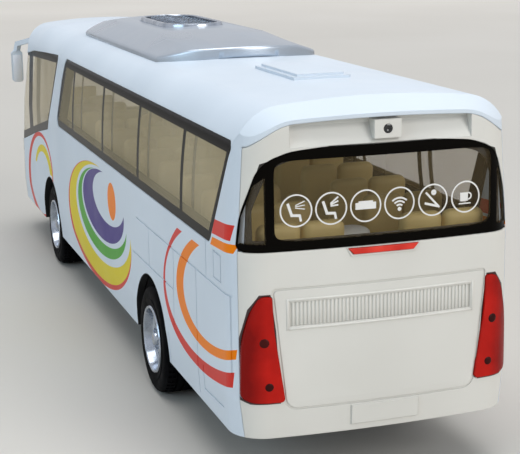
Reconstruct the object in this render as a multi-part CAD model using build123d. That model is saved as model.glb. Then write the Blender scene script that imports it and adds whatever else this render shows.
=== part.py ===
"""Die-cast toy coach with a plastic rear end, tinted glazing, seats and rolling axles.

Millimetres. +X is forward, +Y is the left side, +Z is up. The origin is on the ground,
under the middle of the body's length and width.
"""

from build123d import *
from functools import cache
import math
import os

os.makedirs("parts", exist_ok=True)

# Body envelope
LENGTH = 178.0
WIDTH = 38.2
SKIRT_Z = 7.8
ROOF_Z = 50.0
SILL_Z = 31.0
BUMPER_Z = 12.5
SCREEN_BASE_Z = 21.0
TUMBLEHOME = 0.066
SKIRT_TUCK = 0.3
ROOF_CROWN_R = 116.0
ROOF_CORNER_R = 6.2
WALL = 1.2
FIT = 0.06
GLASS = 0.6
GLASS_RECESS = 0.12
FLANGE = 0.9

# Ends of the body
REAR_BOW = 1.2
REAR_CORNER_R = 4.7
FRONT_BOW = 2.0
FRONT_CORNER_R = 8.5
SCREEN_RAKE = 0.40
REAR_TAPER = 3.0
REAR_DROP = 1.9
REAR_SEAM_DEPTH = 2.65
FRONT_SEAM_DEPTH = 9.5
LIP = 0.5
HEADER_DROP = 6.0
HEADER_WALL = 2.4
SCOOP_HALF = 12.0
SCOOP_FOOT = 0.55
SCOOP_DEPTH = 1.9
SCOOP_DROP = 3.2
BOSS_Y = (-2.4, 1.2)
BOSS_LOW_DROP = 5.1
BOSS_HIGH_DROP = 2.75
CAMERA_R = 0.6
REBATE = 0.6
LOUVRE_HALF = 12.2
LOUVRE_LOW = 22.25
LOUVRE_HIGH = 25.3
LOUVRE_DEPTH = 0.35
GRILLE_HALF = 7.5
GRILLE_Z = 14.0
GRILLE_PITCH = 1.5
GRILLE_SLOT = 0.7

# Rear window: share of the half width, share of the height, corner radius
REAR_GLASS_LOW = 31.7
REAR_GLASS_DROP = 5.65
REAR_GLASS_SEAT = 1.3
REAR_OPENING = 0.86
REAR_GLASS_WRAP = 0.75
REAR_GLASS_EDGE = (
    (0.961, 0.0, 0.9),
    (0.937, 0.356, 15.0),
    (0.825, 0.870, 4.2),
    (0.628, 0.971, 8.0),
    (0.419, 1.0, 20.0),
)

# Side windows: distances behind the nose or ahead of the tail
WINDOW_DROP = 4.9
WINDOW_R = 1.6
REAR_PANE_TOP = 3.85
REAR_PANE_BOTTOM = 11.55
FRONT_PANE_TOP = 64.1
FRONT_PANE_KINK = 60.1
FRONT_PANE_KINK_DROP = 9.4
FRONT_PANE_BOTTOM = 54.7

# Windscreen opening in side view: distance behind the nose, and height or drop below the roof
SCREEN_FOOT = ((44.5, 28.65), (32.0, 26.45), (10.0, 21.7), (-6.0, 21.0))
SCREEN_HEAD = ((-6.0, 8.0), (15.8, 7.95), (25.5, 6.55), (40.0, 5.7), (56.4, 4.9))

# Panel lines of the sides: from (ahead of the tail, height) to (ahead of the tail, height)
GROOVE = 0.25
GROOVE_DEPTH = 0.12
PANEL_LINES = (
    (3.55, 26.0, 52.75, 26.0),
    (31.05, 20.0, 55.75, 20.0),
    (13.45, 26.0, 13.45, 30.9),
    (45.15, 20.0, 45.15, 26.0),
    (30.95, 14.8, 30.35, 26.0),
    (18.55, 8.8, 18.55, 26.0),
    (3.75, 16.0, 3.75, 26.0),
    (6.75, 27.0, 9.95, 27.0),
    (6.75, 30.4, 9.95, 30.4),
    (6.75, 27.0, 6.75, 30.4),
    (9.95, 27.0, 9.95, 30.4),
    (7.15, 10.5, 15.85, 10.1),
    (15.85, 10.1, 15.85, 13.3),
    (34.45, 8.0, 34.45, 12.6),
)
DOOR_LINES = ((13.0, 8.5, 13.0, 21.6), (27.0, 8.5, 27.0, 24.6), (13.0, 8.5, 27.0, 8.5))

# Tail lamps: distance in from the side, height, growth up or down, corner radius
LAMP_PROUD = 0.25
LAMP_FACET = 0.35
LAMP_EDGE = (
    (4.7, 26.3, 1, 0.4),
    (4.9, 21.8, 0, 12.0),
    (6.25, 12.55, -1, 0.5),
    (2.0, 12.6, -1, 2.8),
    (0.85, 13.1, -1, 0.8),
    (1.0, 20.3, 0, 18.0),
    (2.0, 24.5, 0.5, 7.5),
    (3.2, 26.25, 1, 1.1),
)
BRAKE_LAMP_LOW = 30.75
BRAKE_LAMP_HIGH = 31.6
BRAKE_LAMP_HALF = 4.75
BRAKE_LAMP_FOOT_HALF = 4.05
BRAKE_FRAME = 0.25
PANEL_TOP_Z = 26.9
PANEL_TOP_HALF = 14.2
PANEL_FOOT_Z = 11.65
PANEL_FOOT_HALF = 12.6
PANEL_CORNER = 1.5
PLATE_PAD_Y = (-4.9, 4.25)
PLATE_PAD_Z = (8.7, 11.2)

# Wheels and axles: name, place along the coach, tyres' inset from the sides
REAR_OVERHANG = 45.4
FRONT_OVERHANG = 44.8
REAR_TYRE_INSET = 0.0
FRONT_TYRE_INSET = 0.45
WHEEL_R = 8.35
RIM_R = 5.2
TYRE_WIDTH = 6.6
TYRE_SHOULDER = 0.7
AXLE_R = 0.75
AXLE_FIT = 0.05
HUB_FACE = 0.7
HUB_DISH = 1.4
HUB_CAP_R = 1.6
HUB_CAP_DEPTH = 0.2
ARCH_R = 10.1

# Chassis base and interior tray
BASE_Z = 10.4
BASE_THICK = 1.2
REST_PAD_LENGTH = 56.0
REST_PAD_HALF = 14.0
REST_PAD_DEPTH = 0.4
LINER = 0.8
LINER_GAP = 0.25
BEARING_Y = 8.0
BEARING_WIDTH = 2.4
BEARING_LENGTH = 4.4
FLOOR_Z = 23.0
FLOOR_THICK = 1.0
TRAY_HALF = 15.6
TRAY_END = 2.6
TRAY_NOSE = 10.0
POST_WIDTH = 3.2
POST_Y = 12.0
POST_SHARE = (-0.80, -0.18, 0.18, 0.76)
LUG_SHARE = (-0.83, -0.22, 0.20, 0.74)
LUG_DEPTH = 1.0
LUG_HALF = 2.0
MOTOR_HALF_LENGTH = 14.0
MOTOR_HALF_WIDTH = 8.0

# Seats
SEAT_PITCH = 12.2
SEAT_WIDTH = 5.8
SEAT_HEIGHT = 10.6
SEAT_THICK = 2.0
SEAT_CORNER = 1.6
CUSHION_HEIGHT = 5.0
CUSHION_DEPTH = 6.6
AISLE = 7.6
DRIVER_SETBACK = 28.0
DASH_REAR = 16.5
DASH_FRONT = 10.0
STEERING_Y = 8.5
STEERING_R = 2.3
STEERING_RIM = 0.5

# Roof pod and hatch: distances behind the nose or ahead of the tail
POD_REAR = 52.75
POD_FRONT = 53.5
POD_BOW = 7.5
POD_HALF = 13.4
POD_RISE = 2.9
POD_RIM_RISE = 1.65
POD_SIDE_DROP = 0.35
POD_FLAT_HALF = 8.8
POD_CROWN_R = 72.0
POD_RIDGE_REAR = 73.0
POD_RIDGE_FRONT = 65.0
GRILLE_NOSE = 83.0
GRILLE_LENGTH = 26.0
GRILLE_WIDTH = 11.2
GRILLE_DEPTH = 0.8
GRILLE_PROUD = 0.4
HATCH_TAIL = 29.45
HATCH_LENGTH = 16.6
HATCH_WIDTH = 8.2
HATCH_STEP = 0.7
HATCH_RISE = 0.65

# Mirrors: arm's corners behind the nose, out from the side and below the roof
MIRROR_ARM = ((15.0, -2.6, 5.0), (9.6, 0.2, 6.3), (9.0, 0.6, 8.4))
MIRROR_ARM_WIDTH = 1.1
MIRROR_THICK = 1.6
MIRROR_WIDTH = 2.5
MIRROR_HEIGHT = 7.2
MIRROR_CORNER = 0.5

HALF = WIDTH / 2
REAR_X = -LENGTH / 2 + LAMP_PROUD
FRONT_X = LENGTH / 2
REAR_SEAM_X = REAR_X + REAR_SEAM_DEPTH
FRONT_SEAM_X = FRONT_X - FRONT_SEAM_DEPTH
HEADER_Z = ROOF_Z - HEADER_DROP
WINDOW_TOP_Z = ROOF_Z - WINDOW_DROP
REAR_GLASS_TOP = ROOF_Z - REAR_GLASS_DROP
PLATE_TOP = BASE_Z + BASE_THICK
REAR_END = (REAR_BOW, REAR_CORNER_R, 1)
FRONT_END = (FRONT_BOW, FRONT_CORNER_R, -1)
AXLES = (
    ("rear", REAR_X + REAR_OVERHANG, REAR_TYRE_INSET),
    ("front", FRONT_X - FRONT_OVERHANG, FRONT_TYRE_INSET),
)
LINER_IN_Y = HALF - max(REAR_TYRE_INSET, FRONT_TYRE_INSET) - TYRE_WIDTH - 1
POD_TOP_Z = ROOF_Z + POD_RISE


def save(shape, name):
    """Writes one piece to its STEP file."""
    export_step(shape, os.path.join("parts", name + ".step"))


def half_width(z):
    """Half width of the body at a height: upright below the sill, leaning in above it."""
    return HALF - TUMBLEHOME * max(z - SILL_Z, 0)


def front_x(z):
    """Foremost point of the body at a height: the windscreen leans back above its base."""
    return FRONT_X - SCREEN_RAKE * max(z - SCREEN_BASE_Z, 0)


def corner_arc(x, half, end, inset):
    """Start, middle and end of the left corner's arc, where a bowed end meets the side."""
    bow, corner_r, inwards = end
    radius = corner_r - inset
    angle = math.asin((HALF - corner_r) / ((HALF**2 + bow**2) / (2 * bow) - corner_r))
    centre_x = x + inwards * (radius + (half - radius) * math.tan(angle / 2))
    turns = (math.pi / 2, math.pi / 4 + angle / 2, angle)
    return [
        (centre_x - inwards * radius * math.cos(turn), half - radius + radius * math.sin(turn))
        for turn in turns
    ]


def plan_outline(z, inset, tuck=0.0):
    """Plan of the body at a height: straight sides, bowed ends and rounded corners."""
    half = half_width(z) - inset - tuck
    nose = front_x(z) - inset - tuck
    tail = REAR_X + inset + tuck
    rear = corner_arc(tail, half, REAR_END, inset)
    front = corner_arc(nose, half, FRONT_END, inset)
    rear_right = [(x, -y) for x, y in reversed(rear)]
    front_right = [(x, -y) for x, y in reversed(front)]
    outline = Curve() + [
        Line(front[0], rear[0]),
        ThreePointArc(*rear),
        ThreePointArc(rear[2], (tail, 0), rear_right[0]),
        ThreePointArc(*rear_right),
        Line(rear_right[2], front_right[2]),
        ThreePointArc(*front_right),
        ThreePointArc(front_right[0], (nose, 0), front[2]),
        ThreePointArc(*front),
    ]
    return Pos(0, 0, z) * make_face(outline)


@cache
def plan_body(inset):
    """The body's plan lofted from the skirt to above the roof, drawn in by an inset."""
    base_z = 0 if inset >= WALL else SKIRT_Z
    top_z = ROOF_Z + 4
    levels = [(base_z, SKIRT_TUCK), (BUMPER_Z, 0), (SCREEN_BASE_Z, 0), (SILL_Z, 0), (top_z, 0)]
    return loft([plan_outline(z, inset, tuck) for z, tuck in levels], ruled=True)


def roof_ring(x, inset, drop, draw_in):
    """Cross-section of the body at a station: leaning sides, round roof edges, crowned roof."""
    radius = ROOF_CORNER_R - inset
    top_z = ROOF_Z - inset - drop
    sill_y = HALF - inset - draw_in
    crown = math.asin((HALF - ROOF_CORNER_R) / ROOF_CROWN_R)
    lean = math.atan(TUMBLEHOME)
    reach = sill_y - TUMBLEHOME * (top_z - radius - SILL_Z) - radius / math.cos(lean)
    centre_y = reach / (1 - TUMBLEHOME * math.tan(crown / 2))
    centre_z = top_z - radius - centre_y * math.tan(crown / 2)
    turns = (lean, (lean + math.pi / 2 - crown) / 2, math.pi / 2 - crown)
    left = [(centre_y + radius * math.cos(turn), centre_z + radius * math.sin(turn)) for turn in turns]
    right = [(-y, z) for y, z in reversed(left)]
    outline = Curve() + [
        Line((sill_y, SILL_Z), left[0]),
        ThreePointArc(*left),
        ThreePointArc(left[2], (0, top_z), right[0]),
        ThreePointArc(*right),
        Polyline(right[2], (-sill_y, SILL_Z), (-sill_y, 0), (sill_y, 0), (sill_y, SILL_Z)),
    ]
    return Plane((x, 0, 0), x_dir=(0, 1, 0), z_dir=(1, 0, 0)) * make_face(outline)


@cache
def roof_body(inset):
    """The cross-section lofted along the coach, lowered towards both ends of the roof."""
    stations = [
        (REAR_X - 0.4, REAR_DROP * 1.13, REAR_DROP * 1.13),
        (REAR_X + REAR_TAPER, 0, 0),
        (FRONT_X - 30, 0, 0),
        (FRONT_X - 9, 0.9, 0),
        (FRONT_X - 5, 2.2, 0),
        (FRONT_X + 1, 5.8, 0),
    ]
    rings = [roof_ring(x, inset, drop, draw_in) for x, drop, draw_in in stations]
    return loft(rings, ruled=True)


@cache
def hull(inset):
    """The body's outer form drawn in by an inset; from the wall inwards it is open below."""
    return plan_body(inset) & roof_body(inset)


def block(x, y, z):
    """A box between pairs of limits along each axis."""
    size = (x[1] - x[0], y[1] - y[0], z[1] - z[0])
    return Pos(sum(x) / 2, sum(y) / 2, sum(z) / 2) * Box(*size)


def rounded(points):
    """A flat outline from rows of u, v and corner radius, each corner a tangent arc."""
    corners = []
    for index, (u, v, radius) in enumerate(points):
        corner = Vector(u, v)
        back = (Vector(*points[index - 1][:2]) - corner).normalized()
        ahead = (Vector(*points[(index + 1) % len(points)][:2]) - corner).normalized()
        half_angle = math.radians(back.get_angle(ahead)) / 2
        reach = radius / math.tan(half_angle)
        middle = corner + (back + ahead).normalized() * (radius / math.sin(half_angle) - radius)
        corners.append((corner + back * reach, middle, corner + ahead * reach, radius))
    outline = Curve()
    for index, (start, middle, end, radius) in enumerate(corners):
        if radius:
            outline += ThreePointArc(start, middle, end)
        next_start = corners[(index + 1) % len(corners)][0]
        if (next_start - end).length > 1e-6:
            outline += Line(end, next_start)
    return make_face(outline)


def across(face, y_low, y_high):
    """A side-view outline, X right and Z up, made solid between two widths."""
    return Pos(0, y_high, 0) * Rot(90, 0, 0) * extrude(face, y_high - y_low)


def along(face, x_low, x_high):
    """A rear-view outline, Y right and Z up, made solid between two stations."""
    plane = Plane((x_low, 0, 0), x_dir=(0, 1, 0), z_dir=(1, 0, 0))
    return plane * extrude(face, x_high - x_low)


def wheel_disc(x, radius, y_low, y_high):
    """A disc on an axle's line between two widths."""
    return Pos(x, (y_low + y_high) / 2, WHEEL_R) * Rot(90, 0, 0) * Cylinder(radius, y_high - y_low)


def side_window_outline(grow):
    """The long passenger window in side view, its ends slanted towards the front."""
    low, high = SILL_Z - grow, WINDOW_TOP_Z + grow
    return rounded(
        [
            (REAR_X + REAR_PANE_TOP - grow, high, WINDOW_R / 2),
            (REAR_X + REAR_PANE_BOTTOM - grow, low, WINDOW_R),
            (FRONT_X - FRONT_PANE_BOTTOM + grow, low, WINDOW_R),
            (FRONT_X - FRONT_PANE_KINK + grow, ROOF_Z - FRONT_PANE_KINK_DROP, 0),
            (FRONT_X - FRONT_PANE_TOP + grow, high, WINDOW_R / 2),
        ]
    )


def screen_outline(grow):
    """The wrap-round windscreen in side view: its sill drops forward from the pillar."""
    foot = [(FRONT_X - behind, z - grow, 0) for behind, z in SCREEN_FOOT]
    head = [(FRONT_X - behind, ROOF_Z - drop + grow, 0) for behind, drop in SCREEN_HEAD]
    foot[0] = (foot[0][0] - grow, foot[0][1], WINDOW_R)
    head[-1] = (head[-1][0] - grow, head[-1][1], WINDOW_R / 2)
    return rounded(foot + head)


def rear_window_outline(grow):
    """The rear window seen from behind: wide at the foot, arched at the top."""
    height = REAR_GLASS_TOP - REAR_GLASS_LOW
    half = []
    for out, up, radius in REAR_GLASS_EDGE:
        spread = 1 if up < 0.9 else 0
        if radius > 2:
            radius += grow
        half.append((HALF * out + grow * spread, REAR_GLASS_LOW + height * up + grow * (2 * up - 1), radius))
    mirrored = [(-y, z, radius) for y, z, radius in reversed(half)]
    return rounded(half + mirrored)


def lamp_outline(grow):
    """A left tail lamp seen from behind: upright, its outer top corner rounded off."""
    middle_y = HALF - sum(inward for inward, _, _, _ in LAMP_EDGE) / len(LAMP_EDGE)
    points = []
    for inward, z, rise, radius in LAMP_EDGE:
        y = HALF - inward
        points.append((y + (grow if y > middle_y else -grow), z + grow * rise, radius))
    return rounded(points)


def lamp_seat():
    """The plan inside the body on which the tail lamps bed, its corners in flat facets."""
    radius = REAR_CORNER_R - REBATE
    side = HALF - REBATE
    start, _, end = corner_arc(REAR_X + REBATE, side, REAR_END, REBATE)
    left = [(0, side), start]
    for step in range(1, 4):
        turn = step * LAMP_FACET
        left.append((start[0] - radius * math.sin(turn), side - radius + radius * math.cos(turn)))
    left.append(end)
    right = [(x, -y) for x, y in reversed(left)]
    return extrude(make_face(Polyline(*left, *right, close=True)), ROOF_Z)


def both_sides(solid):
    """A solid and its mirror image across the middle of the coach."""
    return solid + mirror(solid, Plane.XZ)


def wheel_arches():
    """Discs that open the arches and clear the tyres."""
    cuts = [wheel_disc(x, ARCH_R, LINER_IN_Y, HALF + 2) for _, x, _ in AXLES]
    return both_sides(Part() + cuts)


def panel_grooves(lines, end_x, ahead):
    """Shallow grooves on the left side, one for each line measured from an end."""
    cuts = []
    for from_end, z, to_end, to_z in lines:
        start = Vector(end_x + ahead * from_end, z)
        run = Vector(end_x + ahead * to_end, to_z) - start
        face = Rectangle(run.length + GROOVE, GROOVE)
        angle = math.degrees(math.atan2(run.Y, run.X))
        cuts.append(across(Pos(start + run / 2) * Rot(0, 0, angle) * face, HALF - 1, HALF + 1))
    return (Part() + cuts) - plan_body(GROOVE_DEPTH)


def body_shell():
    """Die-cast sides and roof in one, with the lip over the rear end and the roof hatch."""
    shell = hull(0) - hull(WALL)
    shell -= block((REAR_X - 2, REAR_SEAM_X), (-HALF - 2, HALF + 2), (0, ROOF_Z + 5))
    lip = hull(0) - roof_body(LIP)
    lip &= block((REAR_X - 2, REAR_SEAM_X), (-HALF - 2, HALF + 2), (HEADER_Z + FIT, ROOF_Z + 5))
    shell += lip
    shell -= block((FRONT_SEAM_X, FRONT_X + 5), (-HALF - 2, HALF + 2), (0, SCREEN_BASE_Z + 8))
    shell -= across(side_window_outline(0), -HALF - 2, HALF + 2)
    shell -= across(screen_outline(0), -HALF - 2, HALF + 2)
    shell -= along(rear_window_outline(0), REAR_X - 2, REAR_SEAM_X + REAR_GLASS_WRAP) - plan_body(REBATE)
    shell -= wheel_arches()
    for share in LUG_SHARE:
        x = share * LENGTH / 2
        ledge_y = HALF - WALL - 0.3
        lug_y = (ledge_y - LUG_DEPTH, ledge_y + 0.6)
        shell += both_sides(block((x - LUG_HALF, x + LUG_HALF), lug_y, (PLATE_TOP, PLATE_TOP + 2)))
    shell -= both_sides(panel_grooves(PANEL_LINES, REAR_X, 1))
    shell -= mirror(panel_grooves(DOOR_LINES, FRONT_X, -1), Plane.XZ)
    hatch_x = REAR_X + HATCH_TAIL
    for step, rise in ((0, HATCH_RISE / 2), (HATCH_STEP, HATCH_RISE)):
        half_x, half_y = HATCH_LENGTH / 2 - step, HATCH_WIDTH / 2 - step
        tier_z = (ROOF_Z - WALL / 2, ROOF_Z + rise)
        shell += block((hatch_x - half_x, hatch_x + half_x), (-half_y, half_y), tier_z)
    return shell


def rear_cap():
    """Moulded rear end: header with its camera scoop, window rebate, louvre and plate pad."""
    rear = block((REAR_X - 2, REAR_SEAM_X - FIT), (-HALF - 2, HALF + 2), (0, HEADER_Z))
    header = block((REAR_X - 2, REAR_SEAM_X - FIT), (-HALF - 2, HALF + 2), (HEADER_Z, ROOF_Z + 5))
    cap = (hull(0) & rear) - plan_body(WALL)
    top = (hull(0) & roof_body(LIP + FIT) & header) - plan_body(HEADER_WALL)
    scoop = rounded(
        [
            (REAR_X - 2, REAR_GLASS_TOP, 0),
            (REAR_X + SCOOP_FOOT, REAR_GLASS_TOP, 0),
            (REAR_X + SCOOP_DEPTH, ROOF_Z - SCOOP_DROP, 0),
            (REAR_X + SCOOP_DEPTH, ROOF_Z + 2, 0),
            (REAR_X - 2, ROOF_Z + 2, 0),
        ]
    )
    cap += top - across(scoop, -SCOOP_HALF, SCOOP_HALF)
    boss_z = (ROOF_Z - BOSS_LOW_DROP, ROOF_Z - BOSS_HIGH_DROP)
    boss = block((REAR_X, REAR_X + SCOOP_DEPTH + 0.3), BOSS_Y, boss_z)
    boss -= Pos(REAR_X, sum(BOSS_Y) / 2, sum(boss_z) / 2) * Rot(0, 90, 0) * Cylinder(CAMERA_R, 1.6)
    cap += boss & plan_body(0.1)
    frame = along(brake_lamp_outline(BRAKE_FRAME), REAR_X - 2, 0)
    cap += (frame & plan_body(-LAMP_PROUD / 2)) - plan_body(WALL / 2)
    pad = block((REAR_X - 2, 0), PLATE_PAD_Y, PLATE_PAD_Z)
    cap += (pad & plan_body(-LAMP_PROUD)) - plan_body(WALL / 2)
    cap -= along(rear_window_outline(0), REAR_X - 2, 0) - plan_body(REBATE)
    opening_y = (-REAR_OPENING * HALF, REAR_OPENING * HALF)
    opening = along(rear_window_outline(-REAR_GLASS_SEAT), REAR_X - 2, 0)
    cap -= opening & block((REAR_X - 2, 0), opening_y, (0, ROOF_Z))
    cap -= both_sides(along(lamp_outline(0), REAR_X - 2, 0)) - lamp_seat()
    cap -= along(brake_lamp_outline(0), REAR_X - 2, 0) - plan_body(REBATE)
    louvre = block((REAR_X - 2, 0), (-LOUVRE_HALF, LOUVRE_HALF), (LOUVRE_LOW, LOUVRE_HIGH))
    cap -= louvre - plan_body(LOUVRE_DEPTH)
    seam = along(engine_panel_outline(GROOVE), REAR_X - 2, 0) - along(engine_panel_outline(0), REAR_X - 2, 0)
    return cap - (seam - plan_body(GROOVE_DEPTH))


def engine_panel_outline(grow):
    """The engine cover between the tail lamps, seen from behind."""
    top, foot = PANEL_TOP_Z + grow, PANEL_FOOT_Z - grow
    top_half, foot_half = PANEL_TOP_HALF + grow, PANEL_FOOT_HALF + grow
    foot_r = PANEL_CORNER + grow
    return rounded(
        [(-top_half, top, 0.5), (-foot_half, foot, foot_r), (foot_half, foot, foot_r), (top_half, top, 0.5)]
    )


def brake_lamp_outline(grow):
    """The high brake lamp seen from behind: a flat trapezoid under the rear window."""
    top, foot = BRAKE_LAMP_HIGH + grow, BRAKE_LAMP_LOW - grow
    top_half, foot_half = BRAKE_LAMP_HALF + grow, BRAKE_LAMP_FOOT_HALF + grow
    return rounded([(-top_half, top, 0), (-foot_half, foot, 0), (foot_half, foot, 0), (top_half, top, 0)])


def front_cap():
    """Moulded front panel under the windscreen, with rebates for the headlamps."""
    front = block((FRONT_SEAM_X + FIT, FRONT_X + 5), (-HALF - 2, HALF + 2), (0, SCREEN_BASE_Z + 8))
    cap = (hull(0) - hull(WALL)) & front
    cap -= across(screen_outline(0), -HALF - 2, HALF + 2)
    lamps = both_sides(along(headlamp_outline(0), 0, FRONT_X + 2))
    cap -= lamps - plan_body(REBATE)
    for index in range(3):
        z = GRILLE_Z + index * GRILLE_PITCH
        slot = block((FRONT_X - 1.5, FRONT_X + 1), (-GRILLE_HALF, GRILLE_HALF), (z, z + GRILLE_SLOT))
        cap -= slot - plan_body(WALL / 2)
    return cap


def headlamp_outline(grow):
    """A left headlamp seen from the front: a leaf shape that sweeps up to the corner."""
    return rounded(
        [
            (9.2 - grow, 14.4 - grow, 0.5),
            (17.0, 13.6 - grow, 0),
            (HALF, 16.0, 0),
            (HALF, 19.4 + grow, 0),
            (14.6 - grow, 17.6 + grow, 0.6),
        ]
    )


def glazing(outline, y_low, y_high):
    """A tinted moulding: panes that fill the opening and a flange behind its edge."""
    panes = (hull(GLASS_RECESS) - hull(WALL + GLASS)) & across(outline(-FIT), y_low, y_high)
    flange = (hull(WALL) - hull(WALL + GLASS)) & across(outline(FLANGE), y_low, y_high)
    return panes + flange


def chassis_base():
    """Black plastic base: a plate with a rest pad, arch liners and blocks for the axles."""
    plate = hull(WALL + FIT) & block((REAR_X, FRONT_X), (-HALF, HALF), (BASE_Z, PLATE_TOP))
    pad_x = (-REST_PAD_LENGTH / 2, REST_PAD_LENGTH / 2)
    plate += block(pad_x, (-REST_PAD_HALF, REST_PAD_HALF), (BASE_Z - REST_PAD_DEPTH, PLATE_TOP))
    above = block((REAR_X, FRONT_X), (-HALF, HALF), (BASE_Z, ROOF_Z))
    for _, x, _ in AXLES:
        liner_out_y = HALF - WALL - LINER_GAP
        liner = wheel_disc(x, ARCH_R + LINER_GAP + LINER, LINER_IN_Y - LINER, liner_out_y) & above
        plate += both_sides(liner)
        plate -= both_sides(wheel_disc(x, ARCH_R + LINER_GAP, LINER_IN_Y, HALF + 2))
        for y in (-BEARING_Y, BEARING_Y):
            plate += block(
                (x - BEARING_LENGTH / 2, x + BEARING_LENGTH / 2),
                (y - BEARING_WIDTH / 2, y + BEARING_WIDTH / 2),
                (WHEEL_R - 2 * AXLE_R, BASE_Z),
            )
        plate -= wheel_disc(x, AXLE_R + AXLE_FIT, -BEARING_Y - 2, BEARING_Y + 2)
    return plate


def interior():
    """Tan moulding: floor, legs down to the base and rows of double seats."""
    top = FLOOR_Z + FLOOR_THICK
    rear_x = REAR_X + TRAY_END
    tray = block((rear_x, FRONT_X - TRAY_NOSE), (-TRAY_HALF, TRAY_HALF), (FLOOR_Z, top))
    height = FLOOR_Z - PLATE_TOP
    for share in POST_SHARE:
        for y in (-POST_Y, POST_Y):
            tray += Pos(share * LENGTH / 2, y, PLATE_TOP + height / 2) * Box(POST_WIDTH, POST_WIDTH, height)
    rows = int((LENGTH - TRAY_END - DRIVER_SETBACK) / SEAT_PITCH)
    for row in range(rows):
        x = rear_x + row * SEAT_PITCH
        for side in (-1, 1):
            middle = side * (AISLE / 2 + SEAT_WIDTH)
            width = (middle - SEAT_WIDTH, middle + SEAT_WIDTH)
            tray += block((x, x + SEAT_THICK + CUSHION_DEPTH), width, (top, top + CUSHION_HEIGHT))
            for seat in (-0.5, 0.5):
                y = middle + seat * SEAT_WIDTH
                edge = SEAT_WIDTH / 2 - 0.1
                back = rounded(
                    [
                        (y - edge, top, 0),
                        (y + edge, top, 0),
                        (y + edge, top + SEAT_HEIGHT - SEAT_CORNER, 0),
                        (y + edge - SEAT_CORNER, top + SEAT_HEIGHT, 0),
                        (y - edge + SEAT_CORNER, top + SEAT_HEIGHT, 0),
                        (y - edge, top + SEAT_HEIGHT - SEAT_CORNER, 0),
                    ]
                )
                tray += along(back, x, x + SEAT_THICK)
    return tray


def dashboard():
    """Dashboard across the nose, with the steering wheel on its column at the left."""
    top = FLOOR_Z + FLOOR_THICK
    rear_x, front_x_limit = FRONT_X - DASH_REAR, FRONT_X - DASH_FRONT
    profile = rounded(
        [
            (rear_x, top, 0),
            (front_x_limit, top, 0),
            (front_x_limit - 1.5, top + 3.4, 0),
            (rear_x, top + 4.6, 0),
        ]
    )
    desk = across(profile, -TRAY_HALF + 2, TRAY_HALF - 2)
    column = Pos(rear_x - 1.2, STEERING_Y, top + 4.6) * Rot(0, -50, 0)
    rim = RegularPolygon(STEERING_R, 12) - RegularPolygon(STEERING_R - STEERING_RIM, 12)
    wheel = column * Pos(0, 0, -STEERING_RIM / 2) * extrude(rim, STEERING_RIM)
    spoke = column * Box(STEERING_RIM, 2 * STEERING_R - STEERING_RIM, STEERING_RIM)
    shaft = column * Pos(0, 0, -1.6) * Box(1, 1, 3.2)
    return desk + wheel + spoke + shaft


def driver_seat():
    """The driver's seat, standing by itself on the tray behind the wheel."""
    top = FLOOR_Z + FLOOR_THICK
    x = FRONT_X - DRIVER_SETBACK
    profile = rounded(
        [
            (x, top, 0),
            (x + 7.0, top, 0),
            (x + 7.0, top + 4.2, 0),
            (x + 2.2, top + 4.0, 0),
            (x + 1.2, top + SEAT_HEIGHT + 0.6, 0),
            (x - 0.9, top + SEAT_HEIGHT + 0.6, 0),
        ]
    )
    return across(profile, STEERING_Y - 3.1, STEERING_Y + 3.1)


def pod_section(x, drop):
    """The pod's cross-section at a station: sloped sides under a crowned top."""
    top_z = POD_TOP_Z - drop
    edge_z = top_z - POD_FLAT_HALF**2 / (2 * POD_CROWN_R)
    side_y, side_z, low_z = POD_HALF + 1, ROOF_Z - POD_SIDE_DROP, ROOF_Z - 4
    outline = Curve() + [
        Polyline((POD_FLAT_HALF, edge_z), (side_y, side_z), (side_y, low_z), (-side_y, low_z)),
        Polyline((-side_y, low_z), (-side_y, side_z), (-POD_FLAT_HALF, edge_z)),
        ThreePointArc((-POD_FLAT_HALF, edge_z), (0, top_z), (POD_FLAT_HALF, edge_z)),
    ]
    return Plane((x, 0, 0), x_dir=(0, 1, 0), z_dir=(1, 0, 0)) * make_face(outline)


def roof_pod():
    """Silver air-conditioning pod: upright skirt with bowed ends, sloped sides, crowned top."""
    rear, front = REAR_X + POD_REAR, FRONT_X - POD_FRONT
    rim_drop = POD_RISE - POD_RIM_RISE
    stations = [
        (rear - 1, rim_drop),
        (REAR_X + POD_RIDGE_REAR, 0),
        (FRONT_X - POD_RIDGE_FRONT, 0),
        (front + 1, rim_drop),
    ]
    outline = Curve() + [
        Line((front - POD_BOW, POD_HALF), (rear + POD_BOW, POD_HALF)),
        ThreePointArc((rear + POD_BOW, POD_HALF), (rear, 0), (rear + POD_BOW, -POD_HALF)),
        Line((rear + POD_BOW, -POD_HALF), (front - POD_BOW, -POD_HALF)),
        ThreePointArc((front - POD_BOW, -POD_HALF), (front, 0), (front - POD_BOW, POD_HALF)),
    ]
    pod = Pos(0, 0, ROOF_Z - 3) * extrude(make_face(outline), POD_RISE + 4)
    pod &= loft([pod_section(x, drop) for x, drop in stations], ruled=True)
    return pod - hull(0) - grille_slot(0, POD_RISE)


def grille_slot(gap, rise):
    """The oblong in the pod's top, from its floor up to a height over that floor."""
    slot = SlotOverall(GRILLE_LENGTH - 2 * gap, GRILLE_WIDTH - 2 * gap)
    return Pos(FRONT_X - GRILLE_NOSE, 0, POD_TOP_Z - GRILLE_DEPTH) * extrude(slot, rise)


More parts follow.
